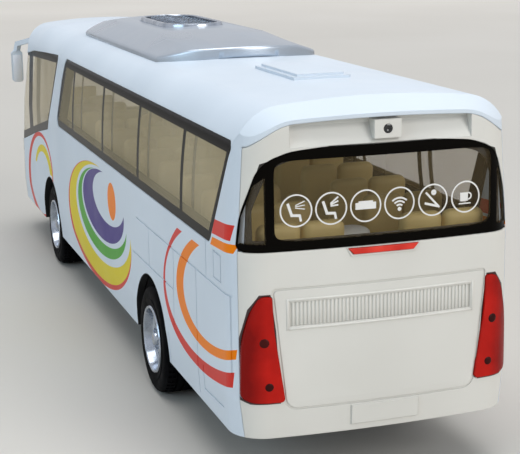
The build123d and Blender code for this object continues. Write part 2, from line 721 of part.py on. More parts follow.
def mirror_left():
    """Left door mirror: an upright head hung from an arm at the front roof corner."""
    corners = [Vector(FRONT_X - back, HALF + out, ROOF_Z - drop) for back, out, drop in MIRROR_ARM]
    path = Polyline(*corners)
    section = Plane(path @ 0, z_dir=path % 0) * Rectangle(MIRROR_ARM_WIDTH, MIRROR_ARM_WIDTH)
    arm = sweep(section, path, transition=Transition.RIGHT) - hull(0)
    hang = corners[-1]
    head = Pos(hang.X, hang.Y, hang.Z - MIRROR_HEIGHT / 2 + MIRROR_ARM_WIDTH / 2)
    head *= Box(MIRROR_THICK, MIRROR_WIDTH, MIRROR_HEIGHT)
    head = chamfer(head.edges().filter_by(Axis.X), MIRROR_CORNER)
    return arm + chamfer(head.faces().sort_by(Axis.X)[-1].edges(), MIRROR_CORNER)


def turned(points, side, x):
    """A ring or disc about an axle's line, turned from rows of radius and distance out."""
    section = make_face(Polyline(*points, close=True))
    return Pos(x, 0, WHEEL_R) * Rot(90 if side < 0 else -90, 0, 0) * revolve(Rot(90, 0, 0) * section, Axis.Z)


def tyre(side, x, out_y):
    """A plain rubber tyre with bevelled shoulders."""
    in_y = out_y - TYRE_WIDTH
    shoulder_r = WHEEL_R - TYRE_SHOULDER
    profile = [
        (RIM_R, in_y),
        (shoulder_r, in_y),
        (WHEEL_R, in_y + TYRE_SHOULDER),
        (WHEEL_R, out_y - TYRE_SHOULDER),
        (shoulder_r, out_y),
        (RIM_R, out_y),
    ]
    return turned(profile, side, x)


def hub(side, x, out_y):
    """A pressed wheel hub: rim lip, dished face, raised centre and a blind bore for the axle."""
    back_y = out_y - TYRE_WIDTH + 1.2
    profile = [
        (AXLE_R, back_y),
        (RIM_R, back_y),
        (RIM_R, out_y),
        (RIM_R - 0.5, out_y),
        (RIM_R - 1.0, out_y - HUB_DISH),
        (HUB_CAP_R, out_y - HUB_DISH),
        (HUB_CAP_R, out_y - HUB_CAP_DEPTH),
        (0, out_y - HUB_CAP_DEPTH),
        (0, out_y - HUB_FACE),
        (AXLE_R, out_y - HUB_FACE),
    ]
    return turned(profile, side, x)


def axle(x, out_y):
    """A plain steel rod through both bearing blocks and into both hubs."""
    return wheel_disc(x, AXLE_R, HUB_FACE - out_y, out_y - HUB_FACE)


save(body_shell(), "body_shell")
save(rear_cap(), "rear_cap")
save(front_cap(), "front_cap")
for side_name, y_limits in (("left", (0, HALF + 2)), ("right", (-HALF - 2, 0))):
    shell_zone = block((REAR_SEAM_X, FRONT_SEAM_X), y_limits, (0, ROOF_Z))
    save(glazing(side_window_outline, *y_limits) & shell_zone, f"side_glazing_{side_name}")
save(glazing(screen_outline, -HALF - 2, HALF + 2), "windscreen")
rear_glass = (plan_body(GLASS_RECESS) - plan_body(REBATE)) & along(
    rear_window_outline(-FIT), REAR_X - 2, REAR_SEAM_X + REAR_GLASS_WRAP - FIT
)
save(rear_glass, "rear_window")
rear_zone = block((REAR_X - 2, REAR_SEAM_X - FIT), (-HALF - 2, HALF + 2), (0, ROOF_Z))
left_lamp = along(lamp_outline(-FIT), REAR_X - 2, 0) & plan_body(-LAMP_PROUD) & rear_zone
left_lamp -= lamp_seat()
save(left_lamp, "tail_lamp_left")
save(mirror(left_lamp, Plane.XZ), "tail_lamp_right")
brake_lamp = along(brake_lamp_outline(-FIT), REAR_X - 2, 0) & plan_body(-LAMP_PROUD)
save(brake_lamp - plan_body(REBATE), "brake_lamp")
front_zone = block((FRONT_SEAM_X + FIT, FRONT_X + 2), (-HALF - 2, HALF + 2), (0, ROOF_Z))
headlamp_skin = (plan_body(0) - plan_body(REBATE)) & front_zone
left_headlamp = headlamp_skin & along(headlamp_outline(-FIT), 0, FRONT_X + 2)
save(left_headlamp, "headlamp_left")
save(mirror(left_headlamp, Plane.XZ), "headlamp_right")
save(roof_pod(), "roof_pod")
save(grille_slot(FIT, GRILLE_DEPTH + GRILLE_PROUD), "pod_grille")
left_mirror = mirror_left()
save(left_mirror, "mirror_left")
save(mirror(left_mirror, Plane.XZ), "mirror_right")
save(chassis_base(), "chassis_base")
save(interior(), "interior")
save(dashboard(), "dashboard")
save(driver_seat(), "driver_seat")
motor_x = REAR_X + REAR_OVERHANG
motor_length = (motor_x - MOTOR_HALF_LENGTH, motor_x + MOTOR_HALF_LENGTH)
motor = block(motor_length, (-MOTOR_HALF_WIDTH, MOTOR_HALF_WIDTH), (PLATE_TOP, FLOOR_Z - FIT))
save(motor, "spring_motor")
for end, axle_x, inset in AXLES:
    save(axle(axle_x, HALF - inset), f"{end}_axle")
    for side_name, side in (("left", 1), ("right", -1)):
        save(tyre(side, axle_x, HALF - inset), f"{end}_tyre_{side_name}")
        save(hub(side, axle_x, HALF - inset), f"{end}_hub_{side_name}")
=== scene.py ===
import math

import bmesh
import bpy
from mathutils import Matrix, Vector


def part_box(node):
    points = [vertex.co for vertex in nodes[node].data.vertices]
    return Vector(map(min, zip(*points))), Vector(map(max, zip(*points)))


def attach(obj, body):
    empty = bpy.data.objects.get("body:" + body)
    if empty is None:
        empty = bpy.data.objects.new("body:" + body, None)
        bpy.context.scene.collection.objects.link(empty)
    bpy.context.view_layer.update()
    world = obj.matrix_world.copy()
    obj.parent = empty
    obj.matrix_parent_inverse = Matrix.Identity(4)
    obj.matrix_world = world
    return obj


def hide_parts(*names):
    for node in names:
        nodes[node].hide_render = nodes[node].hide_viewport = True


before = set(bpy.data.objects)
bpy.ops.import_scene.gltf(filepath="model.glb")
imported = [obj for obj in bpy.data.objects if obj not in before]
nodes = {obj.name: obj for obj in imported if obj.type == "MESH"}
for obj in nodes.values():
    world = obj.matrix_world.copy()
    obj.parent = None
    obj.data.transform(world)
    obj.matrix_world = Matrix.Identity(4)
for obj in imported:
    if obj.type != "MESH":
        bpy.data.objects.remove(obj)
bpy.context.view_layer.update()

# Chassis base: the toy's black underside, a fine-grained injection moulding that carries
# the axles in four blocks and is screwed up into the die-cast shell.
MM = 0.001


def new_finish(name, roughness, metallic=0.0, coat=0.0, shine=0.5):
    """A material with its plain numbers set; returns it with its tree and main shader."""
    finish = bpy.data.materials.new(name)
    finish.use_nodes = True
    shader = finish.node_tree.nodes["Principled BSDF"]
    shader.inputs["Roughness"].default_value = roughness
    shader.inputs["Metallic"].default_value = metallic
    shader.inputs["Coat Weight"].default_value = coat
    shader.inputs["Specular IOR Level"].default_value = shine
    return finish, finish.node_tree, shader


def place(tree):
    """The piece's own coordinates, in metres."""
    return tree.nodes.new("ShaderNodeTexCoord").outputs["Object"]


def noise(tree, scale, detail=2.0):
    """Soft noise over the piece, at a number of grains per metre."""
    texture = tree.nodes.new("ShaderNodeTexNoise")
    texture.inputs["Scale"].default_value = scale
    texture.inputs["Detail"].default_value = detail
    tree.links.new(place(tree), texture.inputs["Vector"])
    return texture.outputs["Fac"]


def spread(tree, value, low, high, to_low, to_high):
    """A value moved from one range to another."""
    node = tree.nodes.new("ShaderNodeMapRange")
    node.inputs["From Min"].default_value = low
    node.inputs["From Max"].default_value = high
    node.inputs["To Min"].default_value = to_low
    node.inputs["To Max"].default_value = to_high
    tree.links.new(value, node.inputs["Value"])
    return node.outputs["Result"]


def blend_colour(tree, share, under, over):
    """One colour laid over another by a share; colours are triples or sockets."""
    node = tree.nodes.new("ShaderNodeMix")
    node.data_type = "RGBA"
    tree.links.new(share, node.inputs["Factor"])
    for socket, colour in ((node.inputs[6], under), (node.inputs[7], over)):
        if isinstance(colour, tuple):
            socket.default_value = (*colour, 1.0)
        else:
            tree.links.new(colour, socket)
    return node.outputs[2]


def patches(tree, scale, dark, light, soft=0.15, detail=2.0):
    """A colour that drifts between two tones over the piece."""
    share = spread(tree, noise(tree, scale, detail), 0.5 - soft, 0.5 + soft, 0.0, 1.0)
    return blend_colour(tree, share, dark, light)


def feed(tree, shader, socket, value):
    """One of the shader's sockets follows a value that varies over the piece."""
    tree.links.new(value, shader.inputs[socket])


def uneven_gloss(tree, shader, scale, smooth, rough):
    """Roughness that drifts between two values over the piece."""
    feed(tree, shader, "Roughness", spread(tree, noise(tree, scale), 0.3, 0.7, smooth, rough))


def grain(tree, shader, strength, depth, scale=0.0, height=None, edge=0.0):
    """A fine relief from noise or from a height, over edges softened by a radius."""
    bump = tree.nodes.new("ShaderNodeBump")
    if edge:
        soft = tree.nodes.new("ShaderNodeBevel")
        soft.samples = 4
        soft.inputs["Radius"].default_value = edge
        tree.links.new(soft.outputs["Normal"], bump.inputs["Normal"])
    bump.inputs["Strength"].default_value = strength
    bump.inputs["Distance"].default_value = depth
    tree.links.new(height or noise(tree, scale, 3.0), bump.inputs["Height"])
    feed(tree, shader, "Normal", bump.outputs["Normal"])


def moulded(name, dark, light, roughness, patch, grain_scale, grain_depth, coat=0.0, shine=0.5, edge=0.0):
    """A moulded or painted finish: a slight drift of colour, uneven gloss and a fine grain."""
    finish, tree, shader = new_finish(name, roughness, coat=coat, shine=shine)
    feed(tree, shader, "Base Color", patches(tree, patch, dark, light))
    uneven_gloss(tree, shader, patch * 3, roughness * 0.85, roughness * 1.2)
    grain(tree, shader, 0.35, grain_depth, scale=grain_scale, edge=edge)
    return finish


def dress(name, finish):
    """A CAD node takes a finish."""
    node = nodes[name]
    if not node.material_slots:
        node.data.materials.append(None)
    node.material_slots[0].material = finish


black_grain = moulded(
    "black_grained_plastic", (0.012, 0.012, 0.013), (0.030, 0.030, 0.033),
    roughness=0.55, patch=60, grain_scale=2600, grain_depth=4e-5,
)
dress("chassis_base", black_grain)

# Pull-back motor: a closed grey plastic box over the rear axle, set on the base. The shell,
# the seats and the base hide it from every side, so only its plain outside is made.
motor_grey = moulded(
    "grey_motor_plastic", (0.05, 0.05, 0.05), (0.09, 0.09, 0.085),
    roughness=0.5, patch=90, grain_scale=1800, grain_depth=3e-5,
)
dress("spring_motor", motor_grey)

# Axles: plain drawn steel rods that turn in the base's blocks, with a hub pressed on each
# end. A thin film of oil leaves the metal dull in patches.
steel, tree, shader = new_finish("drawn_steel", 0.3, metallic=1.0)
drawn = patches(tree, 900, (0.36, 0.36, 0.37), (0.58, 0.58, 0.59), soft=0.2, detail=4.0)
feed(tree, shader, "Base Color", drawn)
uneven_gloss(tree, shader, 400, 0.22, 0.42)
for end in ("rear", "front"):
    dress(f"{end}_axle", steel)

# Tyres: soft black rubber rings stretched over the hubs, moulded with three grooves round
# the tread, a notch beside every shoulder block and a raised ring on the sidewall.
SIDES = (("left", 1), ("right", -1))
TYRE_STEPS = 96
HALF_TYRE = (
    (5.15, -0.50), (5.30, -0.16), (5.75, -0.06), (6.05, 0.0), (6.25, 0.0), (6.35, -0.10), (7.00, -0.06),
    (7.55, -0.12), (7.95, -0.34), (8.22, -0.72), (8.33, -1.25), (8.35, -1.30), (8.35, -1.95), (8.10, -2.0),
    (8.10, -2.25), (8.35, -2.30), (8.35, -3.10), (8.10, -3.15),
)
SHOULDER_FROM, SHOULDER_TO = 1.4 * MM, 2.75 * MM
SHOULDER_R = 8.05 * MM
NOTCH_RIM, NOTCH_DEPTH = 0.05 * MM, 0.15 * MM


def mesh_piece(name, form, finish, body, smooth_angle):
    """A finished mesh becomes a piece at the origin that rides on a body."""
    mesh = bpy.data.meshes.new(name)
    bmesh.ops.recalc_face_normals(form, faces=form.faces[:])
    form.to_mesh(mesh)
    form.free()
    mesh.materials.append(finish)
    piece = bpy.data.objects.new(name, mesh)
    bpy.context.scene.collection.objects.link(piece)
    mesh.shade_smooth()
    mesh.set_sharp_from_angle(angle=smooth_angle)
    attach(piece, body)
    return piece


def spin_about_axle(profile, axle_x, axle_z, steps):
    """A closed ring turned about an axle's line from rows of radius and place across."""
    form = bmesh.new()
    row = [form.verts.new((axle_x + radius, y, axle_z)) for radius, y in profile]
    edges = [form.edges.new(pair) for pair in zip(row, row[1:])]
    bmesh.ops.spin(
        form, geom=row + edges, cent=(axle_x, 0, axle_z), axis=(0, 1, 0), angle=2 * math.pi, steps=steps,
        use_merge=True, use_duplicate=False,
    )
    bmesh.ops.remove_doubles(form, verts=form.verts[:], dist=1e-6)
    bmesh.ops.holes_fill(form, edges=[edge for edge in form.edges if edge.is_boundary])
    bmesh.ops.recalc_face_normals(form, faces=form.faces[:])
    return form


def around(face, axle_x, axle_z):
    """A face's middle, how far it is from the axle, and at which share of a turn it lies."""
    middle = face.calc_center_median()
    turn = math.atan2(middle.z - axle_z, middle.x - axle_x) / (2 * math.pi)
    return middle, math.hypot(middle.x - axle_x, middle.z - axle_z), turn % 1.0


rubber = moulded(
    "soft_black_rubber", (0.002, 0.002, 0.0025), (0.006, 0.006, 0.007),
    roughness=0.55, patch=160, grain_scale=3200, grain_depth=2e-5, shine=0.02,
)
wheels = {}
for end in ("rear", "front"):
    for side_name, side in SIDES:
        low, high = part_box(f"{end}_tyre_{side_name}")
        axle_x, axle_z = (low[0] + high[0]) / 2, (low[2] + high[2]) / 2
        out_y = high[1] if side > 0 else low[1]
        middle_y = (low[1] + high[1]) / 2
        wheels[end, side_name] = (axle_x, axle_z, out_y, side)
        outer = [(radius * MM, out_y + side * depth * MM) for radius, depth in HALF_TYRE]
        inner = [(radius, 2 * middle_y - y) for radius, y in reversed(outer)]
        form = spin_about_axle(outer + inner + outer[:1], axle_x, axle_z, TYRE_STEPS)
        notches = []
        for face in form.faces:
            middle, radius, share = around(face, axle_x, axle_z)
            on_shoulder = SHOULDER_FROM < abs(middle.y - middle_y) < SHOULDER_TO and radius > SHOULDER_R
            if on_shoulder and int(share * TYRE_STEPS) % 2:
                notches.append(face)
        bmesh.ops.inset_individual(form, faces=notches, thickness=NOTCH_RIM, depth=-NOTCH_DEPTH)
        tyre = mesh_piece(f"tyre_{end}_{side_name}", form, rubber, f"{end}_wheels", 0.5)
        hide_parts(f"{end}_tyre_{side_name}")

# Wheel hubs: plated plastic discs pressed on the axle. A bright lip runs round a deep dish
# with eight windows, a ring of nuts and a raised cap over the rod's end.
HUB_STEPS = 48
HUB_PROFILE = (
    (5.16, -5.4), (5.18, -0.55), (5.22, -0.12), (5.12, 0.04), (4.92, 0.06), (4.78, -0.06), (4.66, -0.50),
    (4.45, -1.30), (4.10, -1.62), (3.75, -1.68), (2.75, -1.55), (2.35, -1.38), (2.15, -0.95), (1.75, -0.86),
    (1.15, -0.80), (1.02, -0.42), (0.80, -0.26), (0.0, -0.22),
)
WINDOW_COUNT = 8
WINDOW_STEPS = 3
WINDOW_FROM, WINDOW_TO = 3.0 * MM, 3.6 * MM
WINDOW_RIM, WINDOW_WALL, WINDOW_DEPTH = 0.12 * MM, 0.04 * MM, 0.45 * MM
DISH_DEPTH = 2 * MM
NUT_COUNT = 10
NUT_RING, NUT_SEAT = 1.5 * MM, 0.72 * MM
NUT_FOOT, NUT_TOP, NUT_HEIGHT = 0.20 * MM, 0.17 * MM, 0.36 * MM
chrome, tree, shader = new_finish("bright_plating", 0.12, metallic=1.0)
plating = patches(tree, 420, (0.30, 0.34, 0.40), (0.55, 0.60, 0.68), soft=0.2, detail=3.0)
feed(tree, shader, "Base Color", plating)
uneven_gloss(tree, shader, 700, 0.14, 0.30)
grain(tree, shader, 0.15, 3e-5, scale=900)
for (end, side_name), (axle_x, axle_z, out_y, side) in wheels.items():
    profile = [(radius * MM, out_y + side * depth * MM) for radius, depth in HUB_PROFILE]
    form = spin_about_axle(profile, axle_x, axle_z, HUB_STEPS)
    windows = []
    for face in form.faces:
        middle, radius, share = around(face, axle_x, axle_z)
        in_dish = WINDOW_FROM < radius < WINDOW_TO and abs(middle.y - out_y) < DISH_DEPTH
        if in_dish and int(share * HUB_STEPS) % (HUB_STEPS // WINDOW_COUNT) < WINDOW_STEPS:
            windows.append(face)
    bmesh.ops.inset_region(form, faces=windows, thickness=WINDOW_RIM, depth=0, use_even_offset=True)
    bmesh.ops.inset_region(form, faces=windows, thickness=WINDOW_WALL, depth=-WINDOW_DEPTH)
    for nut in range(NUT_COUNT):
        turn = 2 * math.pi * nut / NUT_COUNT
        nut_x, nut_z = axle_x + NUT_RING * math.cos(turn), axle_z + NUT_RING * math.sin(turn)
        bmesh.ops.create_cone(
            form, cap_ends=True, segments=6, radius1=NUT_FOOT, radius2=NUT_TOP, depth=NUT_HEIGHT,
            matrix=Matrix.Translation((nut_x, out_y - side * NUT_SEAT, nut_z))
            @ Matrix.Rotation(-side * math.pi / 2, 4, "X"),
        )
    hub = mesh_piece(f"hub_{end}_{side_name}", form, chrome, f"{end}_wheels", 0.5)
    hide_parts(f"{end}_hub_{side_name}")

# Seats: one tan moulding of floor and benches that drops on the base. Each bench is a pair
# of soft-cornered backs behind a shared cushion, on either side of the aisle.
SEAT_PITCH = 12.2 * MM
FIRST_ROW = 0.9 * MM
CAB_LENGTH = 18 * MM
AISLE_HALF, BENCH_OUT = 3.8 * MM, 15.35 * MM
CUSHION_FROM, CUSHION_TO = 1.2 * MM, 8.2 * MM
CUSHION_FOOT, CUSHION_TOP = -0.2 * MM, 5.0 * MM
CUSHION_ROUND, BACK_ROUND = 0.9 * MM, 1.1 * MM
BACK_THICK, BACK_GAP = 2.3 * MM, 0.1 * MM
BACK_FOOT, BACK_TOP = 0.5 * MM, 10.6 * MM
BACK_LEAN = 0.10


def between(low, high):
    """The matrix by which a cube of size 1 fills the room between two corners."""
    low, high = Vector(low), Vector(high)
    return Matrix.Translation((low + high) / 2) @ Matrix.Diagonal((*(high - low), 1))


def rounded_box(form, low, high, radius, segments=1, lean=0.0):
    """A box between two corners with rounded edges, leaning back with its height."""
    verts = bmesh.ops.create_cube(form, size=1.0, matrix=between(low, high))["verts"]
    edges = list(dict.fromkeys(edge for vert in verts for edge in vert.link_edges))
    rounded = bmesh.ops.bevel(
        form, geom=edges, offset=radius, offset_type="OFFSET", affect="EDGES", segments=segments,
        profile=0.5, material=-1,
    )
    for vert in {vert for face in rounded["faces"] for vert in face.verts}:
        vert.co.x -= lean * (vert.co.z - low[2])


tan = moulded(
    "tan_moulded_plastic", (0.56, 0.41, 0.15), (0.71, 0.54, 0.22),
    roughness=0.5, patch=70, grain_scale=1500, grain_depth=2e-5,
)
tray_low, tray_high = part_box("interior")
floor_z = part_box("driver_seat")[0][2]
row_count = int((tray_high[0] - tray_low[0] - CAB_LENGTH) / SEAT_PITCH)
form = bmesh.new()
floor_low, floor_high = (tray_low[0], tray_low[1], floor_z - MM), (tray_high[0], tray_high[1], floor_z)
bmesh.ops.create_cube(form, size=1.0, matrix=between(floor_low, floor_high))
for row in range(row_count):
    x = tray_low[0] + FIRST_ROW + row * SEAT_PITCH
    for side in (-1, 1):
        low_y, high_y = sorted((side * AISLE_HALF, side * BENCH_OUT))
        cushion_low = (x + CUSHION_FROM, low_y, floor_z + CUSHION_FOOT)
        cushion_high = (x + CUSHION_TO, high_y, floor_z + CUSHION_TOP)
        rounded_box(form, cushion_low, cushion_high, CUSHION_ROUND, 3)
        middle = (low_y + high_y) / 2
        for from_y, to_y in ((low_y, middle - BACK_GAP), (middle + BACK_GAP, high_y)):
            back_low = (x, from_y, floor_z + BACK_FOOT)
            back_high = (x + BACK_THICK, to_y, floor_z + BACK_TOP)
            rounded_box(form, back_low, back_high, BACK_ROUND, 4, BACK_LEAN)
seats = mesh_piece("seat_moulding", form, tan, "body", 0.7)
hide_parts("interior")
dress("driver_seat", tan)

# Dashboard: a dark grey moulding that lies across the nose under the windscreen, with the
# steering wheel on its column in one piece with it.
dash_grey = moulded(
    "dark_grey_plastic", (0.035, 0.033, 0.030), (0.065, 0.06, 0.055),
    roughness=0.5, patch=90, grain_scale=1800, grain_depth=4e-5,
)
dress("dashboard", dash_grey)

# Rear post: a round boss of white plastic behind the rear window's foot that takes the screw
# of the rear end. Its domed head shows through the glass.
POST_X, POST_Y, POST_HEAD_Z = -83.4 * MM, 2.3 * MM, 32.2 * MM
POST_DOME = (1.9 * MM, 2.6 * MM, 0.95 * MM)
POST_FOOT_R, POST_TOP_R, POST_HEIGHT = 1.9 * MM, 1.7 * MM, 6 * MM
POST_STEPS = 28
form = bmesh.new()
bmesh.ops.create_uvsphere(
    form, u_segments=POST_STEPS, v_segments=POST_STEPS // 2, radius=1.0,
    matrix=Matrix.Translation((POST_X, POST_Y, POST_HEAD_Z)) @ Matrix.Diagonal((*POST_DOME, 1)),
)
bmesh.ops.create_cone(
    form, cap_ends=True, segments=POST_STEPS, radius1=POST_FOOT_R, radius2=POST_TOP_R, depth=POST_HEIGHT,
    matrix=Matrix.Translation((POST_X, POST_Y, POST_HEAD_Z - POST_HEIGHT / 2)),
)
post_white = moulded(
    "white_post_plastic", (0.52, 0.52, 0.50), (0.62, 0.62, 0.60),
    roughness=0.4, patch=120, grain_scale=1500, grain_depth=2e-5,
)
mesh_piece("rear_post", form, post_white, "body", 0.8)

# Body shell: one zinc die-casting of sides and roof, sprayed gloss white, with arcs and
# blocks of colour pad-printed on both sides. Mould seams show as faint grooves.
BODY_HALF = 19.1
SIDE_DEPTH = 4.2
SOFT_EDGE = 0.15 * MM
ARCH_R = 10.16
WHITE_DARK = (0.63, 0.705, 0.79)
WHITE_LIGHT = (0.67, 0.745, 0.83)
RED = (0.66, 0.040, 0.030)
ORANGE = (0.90, 0.22, 0.002)
YELLOW = (0.74, 0.60, 0.002)
GREEN = (0.07, 0.36, 0.03)
VIOLET = (0.055, 0.035, 0.22)
ARCH_SHADOW = (0.02, 0.02, 0.02)
REAR_PRINT_TOP = 29.6
REAR_PRINT_FRONT = -50.0
REAR_SEAM = ((-86.05, 20.0), (-84.8, 12.0))
REAR_ARCS = (
    (RED, ((-81.5, 25.0), (29.9, 11.4), -0.208), ((-77.4, 23.9), (24.4, 9.3), -0.17)),
    (ORANGE, ((-78.6, 24.3), (19.1, 7.9), -0.182), ((-80.4, 24.9), (17.1, 6.86), -0.208)),
)
REAR_BLOCKS = (
    (RED, [(-78.96, 34.46), (-85.6, 34.93), (-85.0, 32.89), (-78.08, 32.47)]),
    (ORANGE, [(-78.3, 32.05), (-86.3, 32.6), (-85.6, 31.4), (-77.6, 30.95)]),
)
FRONT_PRINT_REAR = 39.5
FRONT_ARCS = (
    (RED, 0.0, ((57.5, 16.6), (16.9, 9.6), -0.20), ((56.6, 16.8), (14.9, 8.6), -0.20)),
    (YELLOW, 19.0, ((53.0, 16.9), (11.6, 7.2), -0.15), ((53.6, 15.9), (9.8, 6.6), -0.15)),
)
MIDDLE_ARCS = (
    (RED, ((-4.0, 18.5), (27.4, 10.8), -0.04), ((-4.5, 19.0), (26.8, 10.3), -0.04)),
    (YELLOW, ((-4.5, 19.0), (26.8, 10.3), -0.04), ((-8.0, 20.9), (23.0, 8.4), -0.04)),
    (GREEN, ((-7.6, 21.2), (20.6, 7.5), -0.04), ((-9.8, 22.5), (18.8, 6.5), -0.04)),
    (VIOLET, ((-9.4, 22.8), (17.2, 6.1), -0.04), ((-14.2, 24.8), (12.6, 4.4), -0.04)),
)
DISC = ((-17.5, 25.0), (3.2, 3.2), 0.0)


def calc(tree, operation, *values):
    """A math node; each value is a number or a socket."""
    node = tree.nodes.new("ShaderNodeMath")
    node.operation = operation
    for socket, value in zip(node.inputs, values):
        if isinstance(value, (int, float)):
            socket.default_value = value
        else:
            tree.links.new(value, socket)
    return node.outputs[0]


def above(tree, value, limit):
    """1 where a value is over a limit."""
    return calc(tree, "GREATER_THAN", value, limit)


def below(tree, value, limit):
    """1 where a value is under a limit."""
    return calc(tree, "LESS_THAN", value, limit)


def opposite(tree, share):
    """1 where a share is 0."""
    return calc(tree, "SUBTRACT", 1.0, share)


def all_of(tree, total, *shares):
    """1 where every share is 1."""
    for share in shares:
        total = calc(tree, "MULTIPLY", total, share)
    return total


def axes(tree):
    """The piece's own x, y and z, in millimetres."""
    split = tree.nodes.new("ShaderNodeSeparateXYZ")
    tree.links.new(place(tree), split.inputs[0])
    return [calc(tree, "MULTIPLY", output, 1 / MM) for output in split.outputs]


def oval(tree, centre, radii, tilt):
    """1 inside a tilted oval of the side view, at any place across."""
    mapping = tree.nodes.new("ShaderNodeMapping")
    mapping.vector_type = "TEXTURE"
    mapping.inputs["Location"].default_value = (centre[0] * MM, 0, centre[1] * MM)
    mapping.inputs["Rotation"].default_value = (0, -tilt, 0)
    mapping.inputs["Scale"].default_value = (radii[0] * MM, 1000.0, radii[1] * MM)
    tree.links.new(place(tree), mapping.inputs["Vector"])
    length = tree.nodes.new("ShaderNodeVectorMath")
    length.operation = "LENGTH"
    tree.links.new(mapping.outputs[0], length.inputs[0])
    return below(tree, length.outputs["Value"], 1.0)


def crescent(tree, outer, inner):
    """1 inside one oval and outside another."""
    return all_of(tree, oval(tree, *outer), opposite(tree, oval(tree, *inner)))


def left_of(tree, u, v, start, end):
    """1 on the left of a line, walked from its start to its end in the plane of u and v."""
    run_u, run_v = end[0] - start[0], end[1] - start[1]
    first = calc(tree, "MULTIPLY", calc(tree, "SUBTRACT", v, start[1]), run_u)
    second = calc(tree, "MULTIPLY", calc(tree, "SUBTRACT", u, start[0]), run_v)
    return above(tree, calc(tree, "SUBTRACT", first, second), 0.0)


def inside(tree, u, v, corners):
    """1 inside a convex outline whose corners run anticlockwise."""
    return all_of(tree, *(left_of(tree, u, v, a, b) for a, b in zip(corners, corners[1:] + corners[:1])))


enamel, tree, shader = new_finish("white_enamel", 0.24, shine=0.15)
shader.inputs["IOR"].default_value = 1.32
x, y, z = axes(tree)
paint = patches(tree, 45, WHITE_DARK, WHITE_LIGHT)
on_side = above(tree, calc(tree, "ABSOLUTE", y), BODY_HALF - SIDE_DEPTH)
at_rear = all_of(
    tree, on_side, below(tree, z, REAR_PRINT_TOP), below(tree, x, REAR_PRINT_FRONT),
    left_of(tree, x, z, *REAR_SEAM),
)
for colour, outer, inner in REAR_ARCS:
    paint = blend_colour(tree, all_of(tree, crescent(tree, outer, inner), at_rear), paint, colour)
for colour, corners in REAR_BLOCKS:
    paint = blend_colour(tree, all_of(tree, inside(tree, x, z, corners), on_side), paint, colour)
at_front = all_of(tree, on_side, above(tree, x, FRONT_PRINT_REAR))
for colour, foot_z, outer, inner in FRONT_ARCS:
    arc = all_of(tree, crescent(tree, outer, inner), at_front, above(tree, z, foot_z))
    paint = blend_colour(tree, arc, paint, colour)
for colour, outer, inner in MIDDLE_ARCS:
    paint = blend_colour(tree, all_of(tree, crescent(tree, outer, inner), on_side), paint, colour)
paint = blend_colour(tree, all_of(tree, oval(tree, *DISC), on_side), paint, ORANGE)
# Painted shadow: inside the circle of each wheel arch, the shell's cut edge is painted near black.
for end in ("rear", "front"):
    axle_x, axle_z, _, _ = wheels[end, "left"]
    painted_arch_shadow = oval(tree, (axle_x / MM, axle_z / MM), (ARCH_R, ARCH_R), 0.0)
    paint = blend_colour(tree, painted_arch_shadow, paint, ARCH_SHADOW)
feed(tree, shader, "Base Color", paint)
uneven_gloss(tree, shader, 120, 0.28, 0.38)
grain(tree, shader, 0.02, 5e-6, scale=2600, edge=SOFT_EDGE)
dress("body_shell", enamel)

# Rear end and nose: warm white mouldings with a satin gloss, clipped to the ends of the
# shell. On the rear end, shade is painted dark where the lamps and the glass sit in it.
CAP_DARK, CAP_LIGHT = (0.66, 0.65, 0.61), (0.71, 0.70, 0.66)
LAMP_SHADOW = (0.05, 0.02, 0.02)
GLASS_SHADOW = (0.014, 0.011, 0.008)
LAMP_SEAT_FRONT = -80.0
LAMP_SEAT = [
    (14.2, 26.5), (13.95, 21.8), (12.65, 12.4), (17.15, 12.4), (18.45, 12.95), (18.3, 20.3), (17.3, 24.6),
    (16.0, 26.45),
]
GLASS_SEAT = [
    (-1.0, 31.8), (18.2, 31.8), (17.75, 36.2), (15.65, 42.6), (11.9, 43.85), (8.0, 44.25), (-1.0, 44.25),
]
satin = moulded(
    "warm_white_plastic", CAP_DARK, CAP_LIGHT,
    roughness=0.34, patch=55, grain_scale=900, grain_depth=1.5e-5, coat=0.15, shine=0.4, edge=SOFT_EDGE,
)
dress("front_cap", satin)
rear_satin_and_shade, tree, shader = new_finish("warm_white_rear_end", 0.34, coat=0.15, shine=0.4)
x, y, z = axes(tree)
wide = calc(tree, "ABSOLUTE", y)
painted_lamp_gap_shade = all_of(tree, inside(tree, wide, z, LAMP_SEAT), below(tree, x, LAMP_SEAT_FRONT))
plastic = patches(tree, 55, CAP_DARK, CAP_LIGHT)
# Painted shadow: a dark gap is painted on the rear end round each tail lamp's seat.
plastic = blend_colour(tree, painted_lamp_gap_shade, plastic, LAMP_SHADOW)
# Painted shade: inside the window outline the rear end is painted near black behind the glass.
plastic = blend_colour(tree, inside(tree, wide, z, GLASS_SEAT), plastic, GLASS_SHADOW)
feed(tree, shader, "Base Color", plastic)
uneven_gloss(tree, shader, 160, 0.28, 0.42)
grain(tree, shader, 0.3, 1.5e-5, scale=900, edge=SOFT_EDGE)
dress("rear_cap", rear_satin_and_shade)

